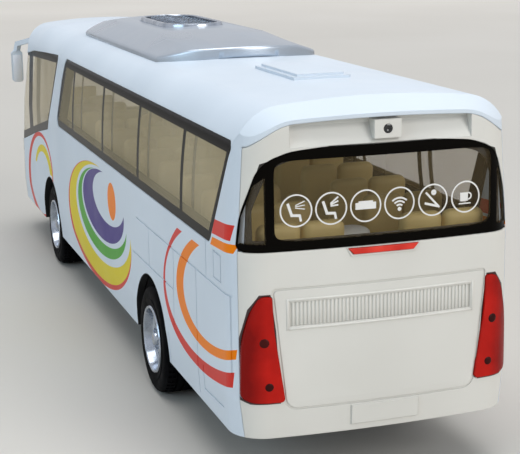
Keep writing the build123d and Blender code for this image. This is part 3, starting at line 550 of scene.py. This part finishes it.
# Louvre: a row of upright fins moulded in the rear end's shallow recess, inside a thin
# frame, in the same warm white. All of it follows the bow of the rear end.
BOW_R = 151.0 * MM
LAMP_PROUD = 0.25 * MM
REAR_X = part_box("brake_lamp")[0][0] + LAMP_PROUD
FIN_COUNT, FIN_PITCH, FIN_HALF = 48, 0.5 * MM, 0.155 * MM
FIN_FACE, FIN_BACK = 0.06 * MM, 0.4 * MM
FIN_LOW, FIN_HIGH = 22.25 * MM, 25.3 * MM
FRAME_HALF, FRAME_LOW, FRAME_HIGH, FRAME_LINE = 12.35 * MM, 22.1 * MM, 25.45 * MM, 0.3 * MM
FRAME_FACE, FRAME_BACK = -0.12 * MM, 0.3 * MM
GROOVE_FACE, GROOVE_BACK = 0.20 * MM, 0.42 * MM
FIN_ROUND, FRAME_ROUND, POST_ROUND, GROOVE_ROUND = 0.05 * MM, 0.04 * MM, 0.05 * MM, 0.02 * MM
FRAME_STEPS = 16


def rear_surface(y):
    """The place along the coach of the rear end's bowed surface, at a place across."""
    return REAR_X + BOW_R - math.sqrt(BOW_R**2 - y**2)


form = bmesh.new()
for fin in range(FIN_COUNT):
    fin_y = (fin - (FIN_COUNT - 1) / 2) * FIN_PITCH
    face_x = rear_surface(fin_y)
    fin_low = (face_x + FIN_FACE, fin_y - FIN_HALF, FIN_LOW)
    fin_high = (face_x + FIN_BACK, fin_y + FIN_HALF, FIN_HIGH)
    rounded_box(form, fin_low, fin_high, FIN_ROUND)
mesh_piece("louvre_fins", form, satin, "body", 0.8)

form = bmesh.new()
groove_low, groove_high = (GROOVE_FACE, -FRAME_HALF, FRAME_LOW), (GROOVE_BACK, FRAME_HALF, FRAME_HIGH)
rounded_box(form, groove_low, groove_high, GROOVE_ROUND)
for low_z, high_z in ((FRAME_LOW - FRAME_LINE, FRAME_LOW), (FRAME_HIGH, FRAME_HIGH + FRAME_LINE)):
    rounded_box(form, (FRAME_FACE, -FRAME_HALF, low_z), (FRAME_BACK, FRAME_HALF, high_z), FRAME_ROUND)
for side in (-1, 1):
    from_y, to_y = sorted((side * FRAME_HALF, side * (FRAME_HALF + FRAME_LINE)))
    post_low = (FRAME_FACE, from_y, FRAME_LOW - FRAME_LINE)
    post_high = (FRAME_BACK, to_y, FRAME_HIGH + FRAME_LINE)
    rounded_box(form, post_low, post_high, POST_ROUND)
runs = [edge for edge in form.edges if abs(edge.verts[0].co.y - edge.verts[1].co.y) > FRAME_HALF]
bmesh.ops.subdivide_edges(form, edges=runs, cuts=FRAME_STEPS - 1)
for vert in form.verts:
    vert.co.x += rear_surface(vert.co.y)
mesh_piece("louvre_frame", form, satin, "body", 0.8)

# Reversing camera: a black glossy lens in the round hole of the header's boss, held by a
# push fit. A ring stands proud round its sunken glass.
LENS_X, LENS_Y, LENS_Z = REAR_X + 0.42 * MM, -0.6 * MM, 46.08 * MM
LENS_R, LENS_LENGTH = 0.58 * MM, 0.6 * MM
RING_CHAMFER, RING_PROUD = 0.16 * MM, 0.05 * MM
RING_WIDTH, RING_DEPTH = 0.18 * MM, 0.12 * MM
black_lens = moulded(
    "black_camera_lens", (0.003, 0.003, 0.004), (0.008, 0.008, 0.010),
    roughness=0.10, patch=400, grain_scale=2000, grain_depth=5e-6, coat=0.3,
)
form = bmesh.new()
bmesh.ops.create_cone(
    form, cap_ends=True, segments=28, radius1=LENS_R, radius2=LENS_R, depth=LENS_LENGTH,
    matrix=Matrix.Translation((LENS_X, LENS_Y, LENS_Z)) @ Matrix.Rotation(-math.pi / 2, 4, "Y"),
)
front = [face for face in form.faces if face.normal.x < -0.9]
bmesh.ops.inset_region(form, faces=front, thickness=RING_CHAMFER, depth=RING_PROUD)
bmesh.ops.inset_region(form, faces=front, thickness=RING_WIDTH, depth=-RING_DEPTH)
mesh_piece("camera_lens", form, black_lens, "body", 0.7)

# Tail and brake lamps: clear red plastic lenses pressed into the rear end, with a moulded
# pattern behind the gloss. Two dark round bulbs show in each tail lamp.
BULBS = ((15.5, 20.4, 0.62), (14.95, 14.7, 0.56))
BULB_FLATNESS, BULB_SINK = 0.25, 0.05
CORNER_X, CORNER_Y, CORNER_R = -83.35, 14.4, 4.95
LENS_SHADE_FROM, LENS_SHADE_TO = 15.2, 17.8
lens, tree, shader = new_finish("red_lens", 0.14, coat=0.12, shine=0.06)
shader.inputs["Coat Roughness"].default_value = 0.08
_, y, _ = axes(tree)
# Painted shade: the red darkens from the lens's inner part out to its outer edge round the corner, with a
# random mottle laid over it.
painted_lens_shade = spread(tree, calc(tree, "ABSOLUTE", y), LENS_SHADE_FROM, LENS_SHADE_TO, 0.75, -0.15)
streak = spread(tree, noise(tree, 230, 3.0), 0.3, 0.7, -0.25, 0.25)
bright = calc(tree, "MAXIMUM", calc(tree, "ADD", painted_lens_shade, streak), 0.0)
feed(tree, shader, "Base Color", blend_colour(tree, bright, (0.22, 0.003, 0.002), (0.54, 0.012, 0.007)))
grain(tree, shader, 0.10, 2e-5, scale=500, edge=0.22 * MM)
for name in ("tail_lamp_left", "tail_lamp_right"):
    dress(name, lens)
bright_lens, tree, shader = new_finish("bright_red_lens", 0.14, shine=0.3)
feed(tree, shader, "Base Color", patches(tree, 260, (0.60, 0.022, 0.012), (0.78, 0.050, 0.030)))
grain(tree, shader, 0.10, 1e-5, scale=700, edge=0.12 * MM)
dress("brake_lamp", bright_lens)
dark_bulb = moulded(
    "dark_bulb", (0.02, 0.002, 0.002), (0.06, 0.006, 0.005),
    roughness=0.3, patch=300, grain_scale=1500, grain_depth=2e-5, shine=0.1,
)
for side_name, side in SIDES:
    form = bmesh.new()
    for bulb_y, bulb_z, radius in BULBS:
        lean = math.asin((bulb_y - CORNER_Y) / CORNER_R)
        bulb_x = CORNER_X - CORNER_R * math.cos(lean) + BULB_SINK
        bmesh.ops.create_uvsphere(
            form, u_segments=20, v_segments=10, radius=radius * MM,
            matrix=Matrix.Translation((bulb_x * MM, side * bulb_y * MM, bulb_z * MM))
            @ Matrix.Rotation(-side * lean, 4, "Z") @ Matrix.Diagonal((BULB_FLATNESS, 1.0, 1.0, 1.0)),
        )
    mesh_piece(f"bulbs_{side_name}", form, dark_bulb, "body", 1.0)

# Headlamps: clear lenses over bright reflectors, let into the nose. Two round bowls with a
# pale bulb and a dark rim show through each lens.
BOWLS = (((86.3, 16.1, 16.3), 1.25), ((87.75, 13.7, 15.2), 0.85))
BOWL_RINGS = ((1.0, (0.07, 0.07, 0.08)), (0.82, (0.50, 0.53, 0.58)), (0.3, (0.88, 0.87, 0.80)))


def cells(tree, scale):
    """Small cells over the piece, at a number per metre, as the distance from each one's middle."""
    texture = tree.nodes.new("ShaderNodeTexVoronoi")
    texture.inputs["Scale"].default_value = scale
    tree.links.new(place(tree), texture.inputs["Vector"])
    return texture.outputs["Distance"]


def reach_of(tree, *runs):
    """How long the straight line with these runs is."""
    squares = [calc(tree, "MULTIPLY", run, run) for run in runs]
    total = squares[0]
    for square in squares[1:]:
        total = calc(tree, "ADD", total, square)
    return calc(tree, "SQRT", total)


lamp_glass, tree, shader = new_finish("clear_lens", 0.12, metallic=0.35, coat=0.9)
shader.inputs["Coat Roughness"].default_value = 0.03
facets = cells(tree, 650)
lamp_colour = blend_colour(tree, facets, (0.66, 0.69, 0.74), (0.42, 0.44, 0.48))
x, y, z = axes(tree)
wide = calc(tree, "ABSOLUTE", y)
for centre, radius in BOWLS:
    from_bulb = reach_of(tree, *(calc(tree, "SUBTRACT", at, mid) for at, mid in zip((x, wide, z), centre)))
    for share, shade in BOWL_RINGS:
        lamp_colour = blend_colour(tree, below(tree, from_bulb, radius * share), lamp_colour, shade)
feed(tree, shader, "Base Color", lamp_colour)
grain(tree, shader, 0.3, 1e-4, height=facets)
for name in ("headlamp_left", "headlamp_right"):
    dress(name, lamp_glass)

# Side glazing: smoky brown clear plastic, moulded in one piece for each side and pushed into
# the shell. A dark band is printed round the edge and down each window division.
BORDER = (0.002, 0.0015, 0.001)
SMOKE_DARK = (0.60, 0.50, 0.31)
SMOKE_LIGHT = (0.84, 0.72, 0.48)
PANE_LOW, PANE_HIGH = 31.0, 45.0
BORDER_LOW, BORDER_HIGH = 32.4, 43.5
BORDER_REAR = ((-75.5, 31.0), (-83.5, 45.1))
BORDER_FRONT = ((23.4, 45.1), (32.8, 31.0))
DIVISIONS = ((16.6, 15.2), (-10.9, -11.4), (-37.2, -37.8), (-63.0, -63.8))
DIVISION_WIDTH, DIVISION_BOW = 1.4, 1.1


def smoky_glass(name, smoke, printed, tint_dark=SMOKE_DARK, tint_light=SMOKE_LIGHT):
    """Tinted plastic with an opaque print; smoke is how much the plain glass hides, up to 1."""
    finish, tree, shader = new_finish(name, 0.08, shine=0.04)
    print_share = printed(tree)
    tint = patches(tree, 30, tint_dark, tint_light)
    feed(tree, shader, "Base Color", blend_colour(tree, print_share, tint, BORDER))
    feed(tree, shader, "Alpha", calc(tree, "MAXIMUM", print_share, smoke))
    feed(tree, shader, "Roughness", spread(tree, print_share, 0.0, 1.0, 0.06, 0.20))
    grain(tree, shader, 0.04, 2e-5, scale=200)
    return finish


def any_of(tree, total, *shares):
    """1 where at least one share is 1."""
    for share in shares:
        total = calc(tree, "MAXIMUM", total, share)
    return total


def near(tree, value, middle, reach):
    """1 where a value is within a reach of a middle."""
    return below(tree, calc(tree, "ABSOLUTE", calc(tree, "SUBTRACT", value, middle)), reach)


def side_print(tree):
    """The long window's border and its bowed divisions."""
    x, _, z = axes(tree)
    height = spread(tree, z, PANE_LOW, PANE_HIGH, -1.0, 1.0)
    bow = calc(tree, "MULTIPLY", opposite(tree, calc(tree, "MULTIPLY", height, height)), DIVISION_BOW)
    bars = []
    for foot_x, top_x in DIVISIONS:
        middle = calc(tree, "ADD", spread(tree, z, PANE_LOW, PANE_HIGH, foot_x, top_x), bow)
        bars.append(near(tree, x, middle, DIVISION_WIDTH / 2))
    return any_of(
        tree, above(tree, z, BORDER_HIGH), below(tree, z, BORDER_LOW),
        left_of(tree, x, z, *BORDER_REAR), left_of(tree, x, z, *BORDER_FRONT), *bars,
    )


side_glass = smoky_glass("smoky_side_glass", 0.37, side_print)
for name in ("side_glazing_left", "side_glazing_right"):
    dress(name, side_glass)

# Windscreen: the same smoky plastic in one wrap-round moulding with both cab side panes. Its
# dark print runs along the head and the foot, down both edges and down the corner posts.
SCREEN_HEAD = ((32.0, 43.5), (58.0, 42.4))
SCREEN_FOOT = ((80.0, 23.4), (33.0, 32.95))
SCREEN_EDGE = ((45.8, 28.65), (34.4, 45.1))
HEAD_FRONT, FOOT_FRONT = 66.0, 80.0
CORNER_POST, CORNER_POST_HALF = 67.2, 2.5
NOSE_REAR, NOSE_LOW, NOSE_HIGH = 65.0, 23.2, 41.8


def screen_print(tree):
    """The windscreen's border and corner posts."""
    x, _, z = axes(tree)
    return any_of(
        tree, all_of(tree, left_of(tree, x, z, *SCREEN_HEAD), below(tree, x, HEAD_FRONT)),
        all_of(tree, left_of(tree, x, z, *SCREEN_FOOT), below(tree, x, FOOT_FRONT)),
        left_of(tree, x, z, *SCREEN_EDGE), near(tree, x, CORNER_POST, CORNER_POST_HALF),
        below(tree, z, NOSE_LOW), all_of(tree, above(tree, z, NOSE_HIGH), above(tree, x, NOSE_REAR)),
    )


dress("windscreen", smoky_glass("smoky_windscreen", 0.40, screen_print))

# Rear window: faintly smoky clear plastic let into the rear end's rebate. A broad black
# border and two black bars are printed on it, round a wide pane and two small corner panes.
PANE_HALF, PANE_HALF_HEIGHT = 14.5, 5.0
PANE_SHIFT, PANE_MIDDLE_Z = 0.55, 37.9
PANE_SQUARENESS = 12.0
BAR_OUT = 15.6
CORNER_PANE = [(14.0, 32.75), (18.0, 32.75), (17.6, 36.2), (16.4, 39.9), (14.0, 41.8)]


def rear_print(tree):
    """Everything but the middle pane and the small corner panes is printed black."""
    _, y, z = axes(tree)
    off_centre = calc(tree, "ABSOLUTE", calc(tree, "ADD", y, PANE_SHIFT))
    raised = calc(tree, "ABSOLUTE", calc(tree, "SUBTRACT", z, PANE_MIDDLE_Z))
    across = calc(tree, "POWER", calc(tree, "DIVIDE", off_centre, PANE_HALF), PANE_SQUARENESS)
    tall = calc(tree, "POWER", calc(tree, "DIVIDE", raised, PANE_HALF_HEIGHT), PANE_SQUARENESS)
    middle_pane = below(tree, calc(tree, "ADD", across, tall), 1.0)
    corner = inside(tree, calc(tree, "ABSOLUTE", y), z, CORNER_PANE)
    corner_pane = all_of(tree, corner, above(tree, off_centre, BAR_OUT))
    return opposite(tree, any_of(tree, middle_pane, corner_pane))


rear_glass = smoky_glass("clear_rear_glass", 0.14, rear_print, (0.14, 0.10, 0.05), (0.20, 0.155, 0.09))
dress("rear_window", rear_glass)

# Window signs: six rings with travel signs in white ink, printed on the rear window. From the
# left they are two seats with air jets, a case, a signal fan, a belted figure and a cup.
RING_Y = (11.25, 6.8, 2.33, -2.16, -6.75, -11.35)
RING_Z = 36.7
RING_R, RING_LINE = 2.05, 0.19
PRINT_THICK, PRINT_LIFT = 0.03 * MM, 0.004 * MM
GLASS_X = 0.12 * MM
# A stroke is its start, its end and its width. An arc is its middle, its outer and inner
# radius, and the shares of a turn at which it starts and ends.
SEAT = [
    ((1.05, 0.95), (0.55, -0.55), 0.34), ((0.70, -0.55), (-0.55, -0.62), 0.34),
    ((-0.45, -0.55), (-0.60, -1.35), 0.30),
]
JETS = (-0.5, 0.0, 0.5)
SOFT_AIR = [((0.1, 0.5 + jet * 0.3), (-1.1, 0.65 + jet), 0.12) for jet in JETS]
STRONG_AIR = [((0.1, 0.45 + jet * 0.3), (-0.9, 0.9 + jet), 0.20) for jet in JETS]
CASE = [((1.35, 0.0), (-1.35, 0.0), 0.85), ((0.95, 0.52), (-0.95, 0.52), 0.2)]
WAVES = [(0.0, -0.75, radius + 0.11, radius - 0.11, 0.13, 0.37) for radius in (0.55, 0.98, 1.41)]
WAVES.append((0.0, -0.75, 0.26, 0.02, 0.0, 1.0))
BELT = [((1.0, 1.0), (-0.9, -1.0), 0.26), ((1.15, -0.35), (-0.7, -0.85), 0.30)]
HEAD = [(-0.1, 0.95, 0.36, 0.04, 0.0, 1.0)]
CUP = [((0.75, 0.0), (-0.35, 0.0), 1.1), ((0.95, -0.85), (-0.75, -0.85), 0.16)]
HANDLE = [(-0.4, 0.08, 0.5, 0.32, 0.25, 0.75)]
SIGNS = ((SEAT + SOFT_AIR, []), (SEAT + STRONG_AIR, []), (CASE, []), ([], WAVES), (BELT, HEAD), (CUP, HANDLE))


def flat_ring(form, y, z, outer, inner, from_turn=0.0, to_turn=1.0, steps=40):
    """A flat ring, or part of one, in the plane of the rear window."""
    turn = 2 * math.pi * from_turn
    rows = [
        form.verts.new((0, (y + radius * math.cos(turn)) * MM, (z + radius * math.sin(turn)) * MM))
        for radius in (inner, outer)
    ]
    edge = form.edges.new(rows)
    share = to_turn - from_turn
    bmesh.ops.spin(
        form, geom=rows + [edge], cent=(0, y * MM, z * MM), axis=(1, 0, 0), angle=2 * math.pi * share,
        steps=steps, use_merge=share >= 1.0,
    )


def flat_bar(form, start, end, width):
    """A flat straight stroke between two points of the rear window."""
    start, end = Vector((0, *start)) * MM, Vector((0, *end)) * MM
    run = end - start
    aside = Vector((0, -run.z, run.y)).normalized() * width * MM / 2
    corners = (start - aside, end - aside, end + aside, start + aside)
    form.faces.new([form.verts.new(corner) for corner in corners])


def print_on_glass(form):
    """Flat artwork drawn at x = 0 gains a thickness and lies on the bowed glass."""
    raised = bmesh.ops.extrude_face_region(form, geom=form.faces[:])
    top = [item for item in raised["geom"] if isinstance(item, bmesh.types.BMVert)]
    bmesh.ops.translate(form, verts=top, vec=(-PRINT_THICK, 0, 0))
    for vert in form.verts:
        vert.co.x += rear_surface(vert.co.y) + GLASS_X + PRINT_LIFT


form = bmesh.new()
for ring_y, (strokes, arcs) in zip(RING_Y, SIGNS):
    flat_ring(form, ring_y, RING_Z, RING_R, RING_R - RING_LINE)
    for start, end, width in strokes:
        start, end = (ring_y + start[0], RING_Z + start[1]), (ring_y + end[0], RING_Z + end[1])
        flat_bar(form, start, end, width)
    for off_y, off_z, *ring in arcs:
        flat_ring(form, ring_y + off_y, RING_Z + off_z, *ring, steps=16)
print_on_glass(form)
white_print = moulded(
    "white_print", (0.74, 0.74, 0.72), (0.80, 0.80, 0.78),
    roughness=0.4, patch=200, grain_scale=1500, grain_depth=1e-5,
)
mesh_piece("window_signs", form, white_print, "body", 0.8)

# Roof pod: the silver-painted plastic cover of the cooling plant, glued on the roof. Its
# upper edges are rounded, and fine flakes sparkle in the paint.
POD_ROUND = 0.4 * MM
POD_SHARP = 0.5
POD_RIM_LOW = 49.9 * MM
silver, tree, shader = new_finish("silver_paint", 0.28, metallic=0.85, coat=0.2)
flakes = spread(tree, cells(tree, 9000), 0.0, 0.8, 0.0, 1.0)
feed(tree, shader, "Base Color", blend_colour(tree, flakes, (0.44, 0.49, 0.56), (0.48, 0.54, 0.61)))
uneven_gloss(tree, shader, 90, 0.26, 0.37)
grain(tree, shader, 0.04, 1e-5, scale=2500)
form = bmesh.new()
form.from_mesh(nodes["roof_pod"].data)
bmesh.ops.remove_doubles(form, verts=form.verts[:], dist=1e-6)
bmesh.ops.dissolve_limit(form, angle_limit=0.02, verts=form.verts[:], edges=form.edges[:])
rims = [edge for edge in form.edges if len(edge.link_faces) == 2 and edge.calc_face_angle() > POD_SHARP]
rims = [edge for edge in rims if all(vert.co.z > POD_RIM_LOW for vert in edge.verts)]
bmesh.ops.bevel(
    form, geom=rims, offset=POD_ROUND, offset_type="OFFSET", affect="EDGES", segments=4, profile=0.5,
    material=-1,
)
pod = mesh_piece("cooling_pod", form, silver, "body", 0.6)
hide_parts("roof_pod")

# Fan grille: a chrome-plated oblong frame with round ends, clipped into the pod's top. Two
# layers of slanting bars cross in it and droop towards the sides with the roof.
RIM_WIDTH = 0.8 * MM
END_STEPS = 14
LATTICE_PITCH, LATTICE_WIDTH = 1.25 * MM, 0.26 * MM
LATTICE_DROP, LATTICE_STAGGER = 0.5 * MM, 0.1 * MM
LATTICE_ROWS, LATTICE_CUTS = 14, 7
RUN_STEPS, SHORTEST_RUN = 40, 6
BAR_OVERLAP = 0.1 * MM
grille_low, grille_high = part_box("pod_grille")
grille_x = (grille_low[0] + grille_high[0]) / 2
grille_half_x = (grille_high[0] - grille_low[0]) / 2
grille_half_y = (grille_high[1] - grille_low[1]) / 2
grille_foot, grille_top = grille_low[2], grille_high[2]
half_y = grille_half_y - RIM_WIDTH
straight = grille_half_x - grille_half_y
RIM_SECTION = (
    (RIM_WIDTH, grille_foot + 0.3 * MM), (0.0, grille_foot), (0.0, grille_top - 0.2 * MM),
    (0.1 * MM, grille_top - 0.05 * MM), (0.25 * MM, grille_top), (RIM_WIDTH - 0.2 * MM, grille_top),
    (RIM_WIDTH, grille_top - 0.15 * MM),
)


def oblong_loop(form, inset, z):
    """A loop of edges round an oblong with round ends, drawn in by an inset, at a height."""
    end_r = grille_half_y - inset
    verts = []
    for end in (1, -1):
        for step in range(END_STEPS + 1):
            turn = end * (math.pi * step / END_STEPS - math.pi / 2)
            x = grille_x + end * (straight + end_r * math.cos(turn))
            verts.append(form.verts.new((x, end_r * math.sin(turn), z)))
    return [form.edges.new(pair) for pair in zip(verts, verts[1:] + verts[:1])]


def bar_run(start_x, lean):
    """The places across at which a slanting bar lies inside the frame."""
    places = [step / RUN_STEPS * half_y for step in range(-RUN_STEPS, RUN_STEPS + 1)]
    past_end = [max(abs(start_x + lean * y) - straight, 0) for y in places]
    return [y for y, past in zip(places, past_end) if math.hypot(past, y) <= half_y + BAR_OVERLAP]


def lattice_bar(form, low_y, high_y, start_x, lean):
    """A square bar laid aslant between two places across, with its droop."""
    length = (high_y - low_y) * math.sqrt(2)
    for vert in form.verts:
        vert.tag = True
    bmesh.ops.create_cube(form, size=1.0, matrix=Matrix.Diagonal((LATTICE_WIDTH, length, LATTICE_WIDTH, 1)))
    new_edges = [edge for edge in form.edges if not edge.verts[0].tag]
    long_edges = [edge for edge in new_edges if abs(edge.verts[0].co.y - edge.verts[1].co.y) > length / 2]
    bmesh.ops.subdivide_edges(form, edges=long_edges, cuts=LATTICE_CUTS, use_grid_fill=True)
    bar = [vert for vert in form.verts if not vert.tag]
    bmesh.ops.rotate(form, verts=bar, cent=(0, 0, 0), matrix=Matrix.Rotation(-lean * math.pi / 4, 3, "Z"))
    middle_y = (low_y + high_y) / 2
    shift = (grille_x + start_x + lean * middle_y, middle_y, grille_top - LATTICE_WIDTH / 2)
    bmesh.ops.translate(form, verts=bar, vec=shift)
    for vert in bar:
        vert.co.z -= LATTICE_DROP * (vert.co.y / half_y) ** 2 + (LATTICE_STAGGER if lean < 0 else 0)


form = bmesh.new()
loops = [oblong_loop(form, inset, z) for inset, z in RIM_SECTION]
for first, second in zip(loops, loops[1:] + loops[:1]):
    bmesh.ops.bridge_loops(form, edges=first + second)
for lean in (1, -1):
    for row in range(-LATTICE_ROWS, LATTICE_ROWS + 1):
        start_x = row * LATTICE_PITCH * math.sqrt(2)
        run = bar_run(start_x, lean)
        if len(run) >= SHORTEST_RUN:
            lattice_bar(form, min(run), max(run), start_x, lean)
grille = mesh_piece("fan_grille", form, chrome, "body", 0.6)
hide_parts("pod_grille")

# Cooling fans: two dark plastic rotors under the grille, each a flat hub with nine pitched
# blades. They are fixed, and show only through the lattice.
BLADES = 9
BLADE_SIZE = (3.2 * MM, 1.3 * MM, 0.12 * MM)
BLADE_OUT, BLADE_PITCH = 2.7 * MM, 0.35
FAN_HUB_FOOT, FAN_HUB_TOP, FAN_HUB_HEIGHT = 1.2 * MM, 0.9 * MM, 0.4 * MM
FAN_SHARE = 0.82
FAN_LIFT = 0.28 * MM
fan_plastic = moulded(
    "dark_blue_grey_plastic", (0.05, 0.06, 0.09), (0.10, 0.12, 0.16),
    roughness=0.35, patch=260, grain_scale=1500, grain_depth=2e-5, coat=0.2,
)
form = bmesh.new()
for side in (-1, 1):
    centre = Matrix.Translation((grille_x + side * straight * FAN_SHARE, 0, grille_foot + FAN_LIFT))
    bmesh.ops.create_cone(
        form, cap_ends=True, segments=24, radius1=FAN_HUB_FOOT, radius2=FAN_HUB_TOP, depth=FAN_HUB_HEIGHT,
        matrix=centre,
    )
    for blade in range(BLADES):
        turn = Matrix.Rotation(2 * math.pi * blade / BLADES, 4, "Z")
        pitched = Matrix.Rotation(BLADE_PITCH, 4, "X") @ Matrix.Diagonal((*BLADE_SIZE, 1))
        out = Matrix.Translation((BLADE_OUT, 0, 0))
        bmesh.ops.create_cube(form, size=1.0, matrix=centre @ turn @ out @ pitched)
mesh_piece("fan_blades", form, fan_plastic, "body", 0.6)

# Door mirrors: white plastic arms and housings plugged into the front roof corners, each
# with a pale silvered plate on the side that faces the driver.
PLATE_X, PLATE_OUT = 79.2 * MM, 0.6
PLATE_HALF = 0.95 * MM
PLATE_LOW, PLATE_HIGH = 35.0 * MM, 41.2 * MM
PLATE_FACE, PLATE_BACK, PLATE_ROUND = -0.08 * MM, 0.1 * MM, 0.06 * MM
cool_white = moulded(
    "cool_white_plastic", WHITE_DARK, WHITE_LIGHT,
    roughness=0.30, patch=55, grain_scale=900, grain_depth=1.5e-5, coat=0.1, shine=0.4, edge=SOFT_EDGE,
)
silvered, tree, shader = new_finish("silvered_plate", 0.16, metallic=0.12)
silvering = patches(tree, 300, (0.80, 0.84, 0.92), (0.88, 0.91, 0.97), soft=0.2)
feed(tree, shader, "Base Color", silvering)
uneven_gloss(tree, shader, 500, 0.12, 0.24)
for side_name, side in SIDES:
    dress(f"mirror_{side_name}", cool_white)
    head_y = (BODY_HALF + PLATE_OUT) * MM * side
    form = bmesh.new()
    plate_low = (PLATE_X + PLATE_FACE, head_y - PLATE_HALF, PLATE_LOW)
    plate_high = (PLATE_X + PLATE_BACK, head_y + PLATE_HALF, PLATE_HIGH)
    rounded_box(form, plate_low, plate_high, PLATE_ROUND, 2)
    mesh_piece(f"mirror_plate_{side_name}", form, silvered, "body", 0.6)

# Floor: a plain pale surface under the toy. Far from the lamps it stays pale for the camera
# alone, like a lit backdrop, which sends no light on the toy.
FLOOR_SIZE = 6.0
BACKDROP_NEAR, BACKDROP_FAR = 150.0, 900.0
BACKDROP_GLOW = 0.36
floor_form = bmesh.new()
bmesh.ops.create_grid(floor_form, x_segments=1, y_segments=1, size=FLOOR_SIZE / 2)
floor_mesh = bpy.data.meshes.new("floor")
floor_form.to_mesh(floor_mesh)
floor_form.free()
floor = bpy.data.objects.new("floor", floor_mesh)
bpy.context.scene.collection.objects.link(floor)
pale_floor = moulded(
    "pale_floor", (0.57, 0.555, 0.52), (0.61, 0.595, 0.56),
    roughness=0.7, patch=3, grain_scale=400, grain_depth=2e-5,
)
tree = pale_floor.node_tree
shader = tree.nodes["Principled BSDF"]
x, y, _ = axes(tree)
glow = spread(tree, reach_of(tree, x, y), BACKDROP_NEAR, BACKDROP_FAR, 0.0, BACKDROP_GLOW)
seen = tree.nodes.new("ShaderNodeLightPath").outputs["Is Camera Ray"]
shader.inputs["Emission Color"].default_value = (1.0, 0.96, 0.89, 1.0)
feed(tree, shader, "Emission Strength", calc(tree, "MULTIPLY", glow, seen))
floor_mesh.materials.append(pale_floor)

# Light: three broad round lamps, overhead, to the left and behind, all aimed at the toy, in
# a pale surround that looks brighter to the camera and in reflections than it lights.
SURROUND_LIGHT, SURROUND_SEEN = 0.36, 0.70
LAMP_AIM = Vector((0, 0, 0.03))
LAMPS = (
    ("overhead", (-0.05, 0.0, 0.75), 0.8, 4.15, (1.0, 1.0, 1.0)),
    ("left_fill", (-0.35, 0.80, 0.40), 0.6, 2.0, (0.64, 0.86, 1.0)),
    ("rear_key", (-0.80, -0.40, 0.40), 0.5, 3.3, (1.0, 0.99, 0.96)),
)
scene = bpy.context.scene
scene.view_settings.view_transform = "Standard"
world = bpy.data.worlds.new("studio")
scene.world = world
world.use_nodes = True
tree = world.node_tree
background = tree.nodes["Background"]
background.inputs["Color"].default_value = (0.95, 0.96, 1.0, 1.0)
path = tree.nodes.new("ShaderNodeLightPath")
rays = [path.outputs[name] for name in ("Is Camera Ray", "Is Glossy Ray", "Is Transmission Ray")]
strength = spread(tree, any_of(tree, *rays), 0.0, 1.0, SURROUND_LIGHT, SURROUND_SEEN)
tree.links.new(strength, background.inputs["Strength"])
for name, spot, size, power, tone in LAMPS:
    data = bpy.data.lights.new(name, "AREA")
    data.color = tone
    data.shape = "DISK"
    data.size = size
    data.energy = power
    lamp = bpy.data.objects.new(name, data)
    lamp.location = spot
    lamp.rotation_euler = (LAMP_AIM - Vector(spot)).to_track_quat("-Z", "Y").to_euler()
    scene.collection.objects.link(lamp)

# Camera: behind the toy and to its left, a little above its roof, turned, tipped down and
# rolled by small angles as the photograph's was.
CAMERA_PLACE = (-0.24224, 0.065873, 0.07148)
CAMERA_YAW, CAMERA_PITCH, CAMERA_ROLL = -0.314, 0.221, -0.016
FOCAL_LENGTH, SENSOR_WIDTH = 95.76, 36
camera_data = bpy.data.cameras.new("camera")
camera_data.lens = FOCAL_LENGTH
camera_data.sensor_width = SENSOR_WIDTH
camera_data.sensor_fit = "HORIZONTAL"
camera_data.clip_start = 0.01
camera = bpy.data.objects.new("camera", camera_data)
scene.collection.objects.link(camera)
flat_run, drop = math.cos(CAMERA_PITCH), math.sin(CAMERA_PITCH)
forward = Vector((flat_run * math.cos(CAMERA_YAW), flat_run * math.sin(CAMERA_YAW), -drop))
level = forward.cross(Vector((0, 0, 1))).normalized()
upright = level.cross(forward)
across = math.cos(CAMERA_ROLL) * level + math.sin(CAMERA_ROLL) * upright
upward = math.cos(CAMERA_ROLL) * upright - math.sin(CAMERA_ROLL) * level
pose = Matrix((across, upward, -forward)).transposed().to_4x4()
pose.translation = Vector(CAMERA_PLACE)
camera.matrix_world = pose
scene.camera = camera
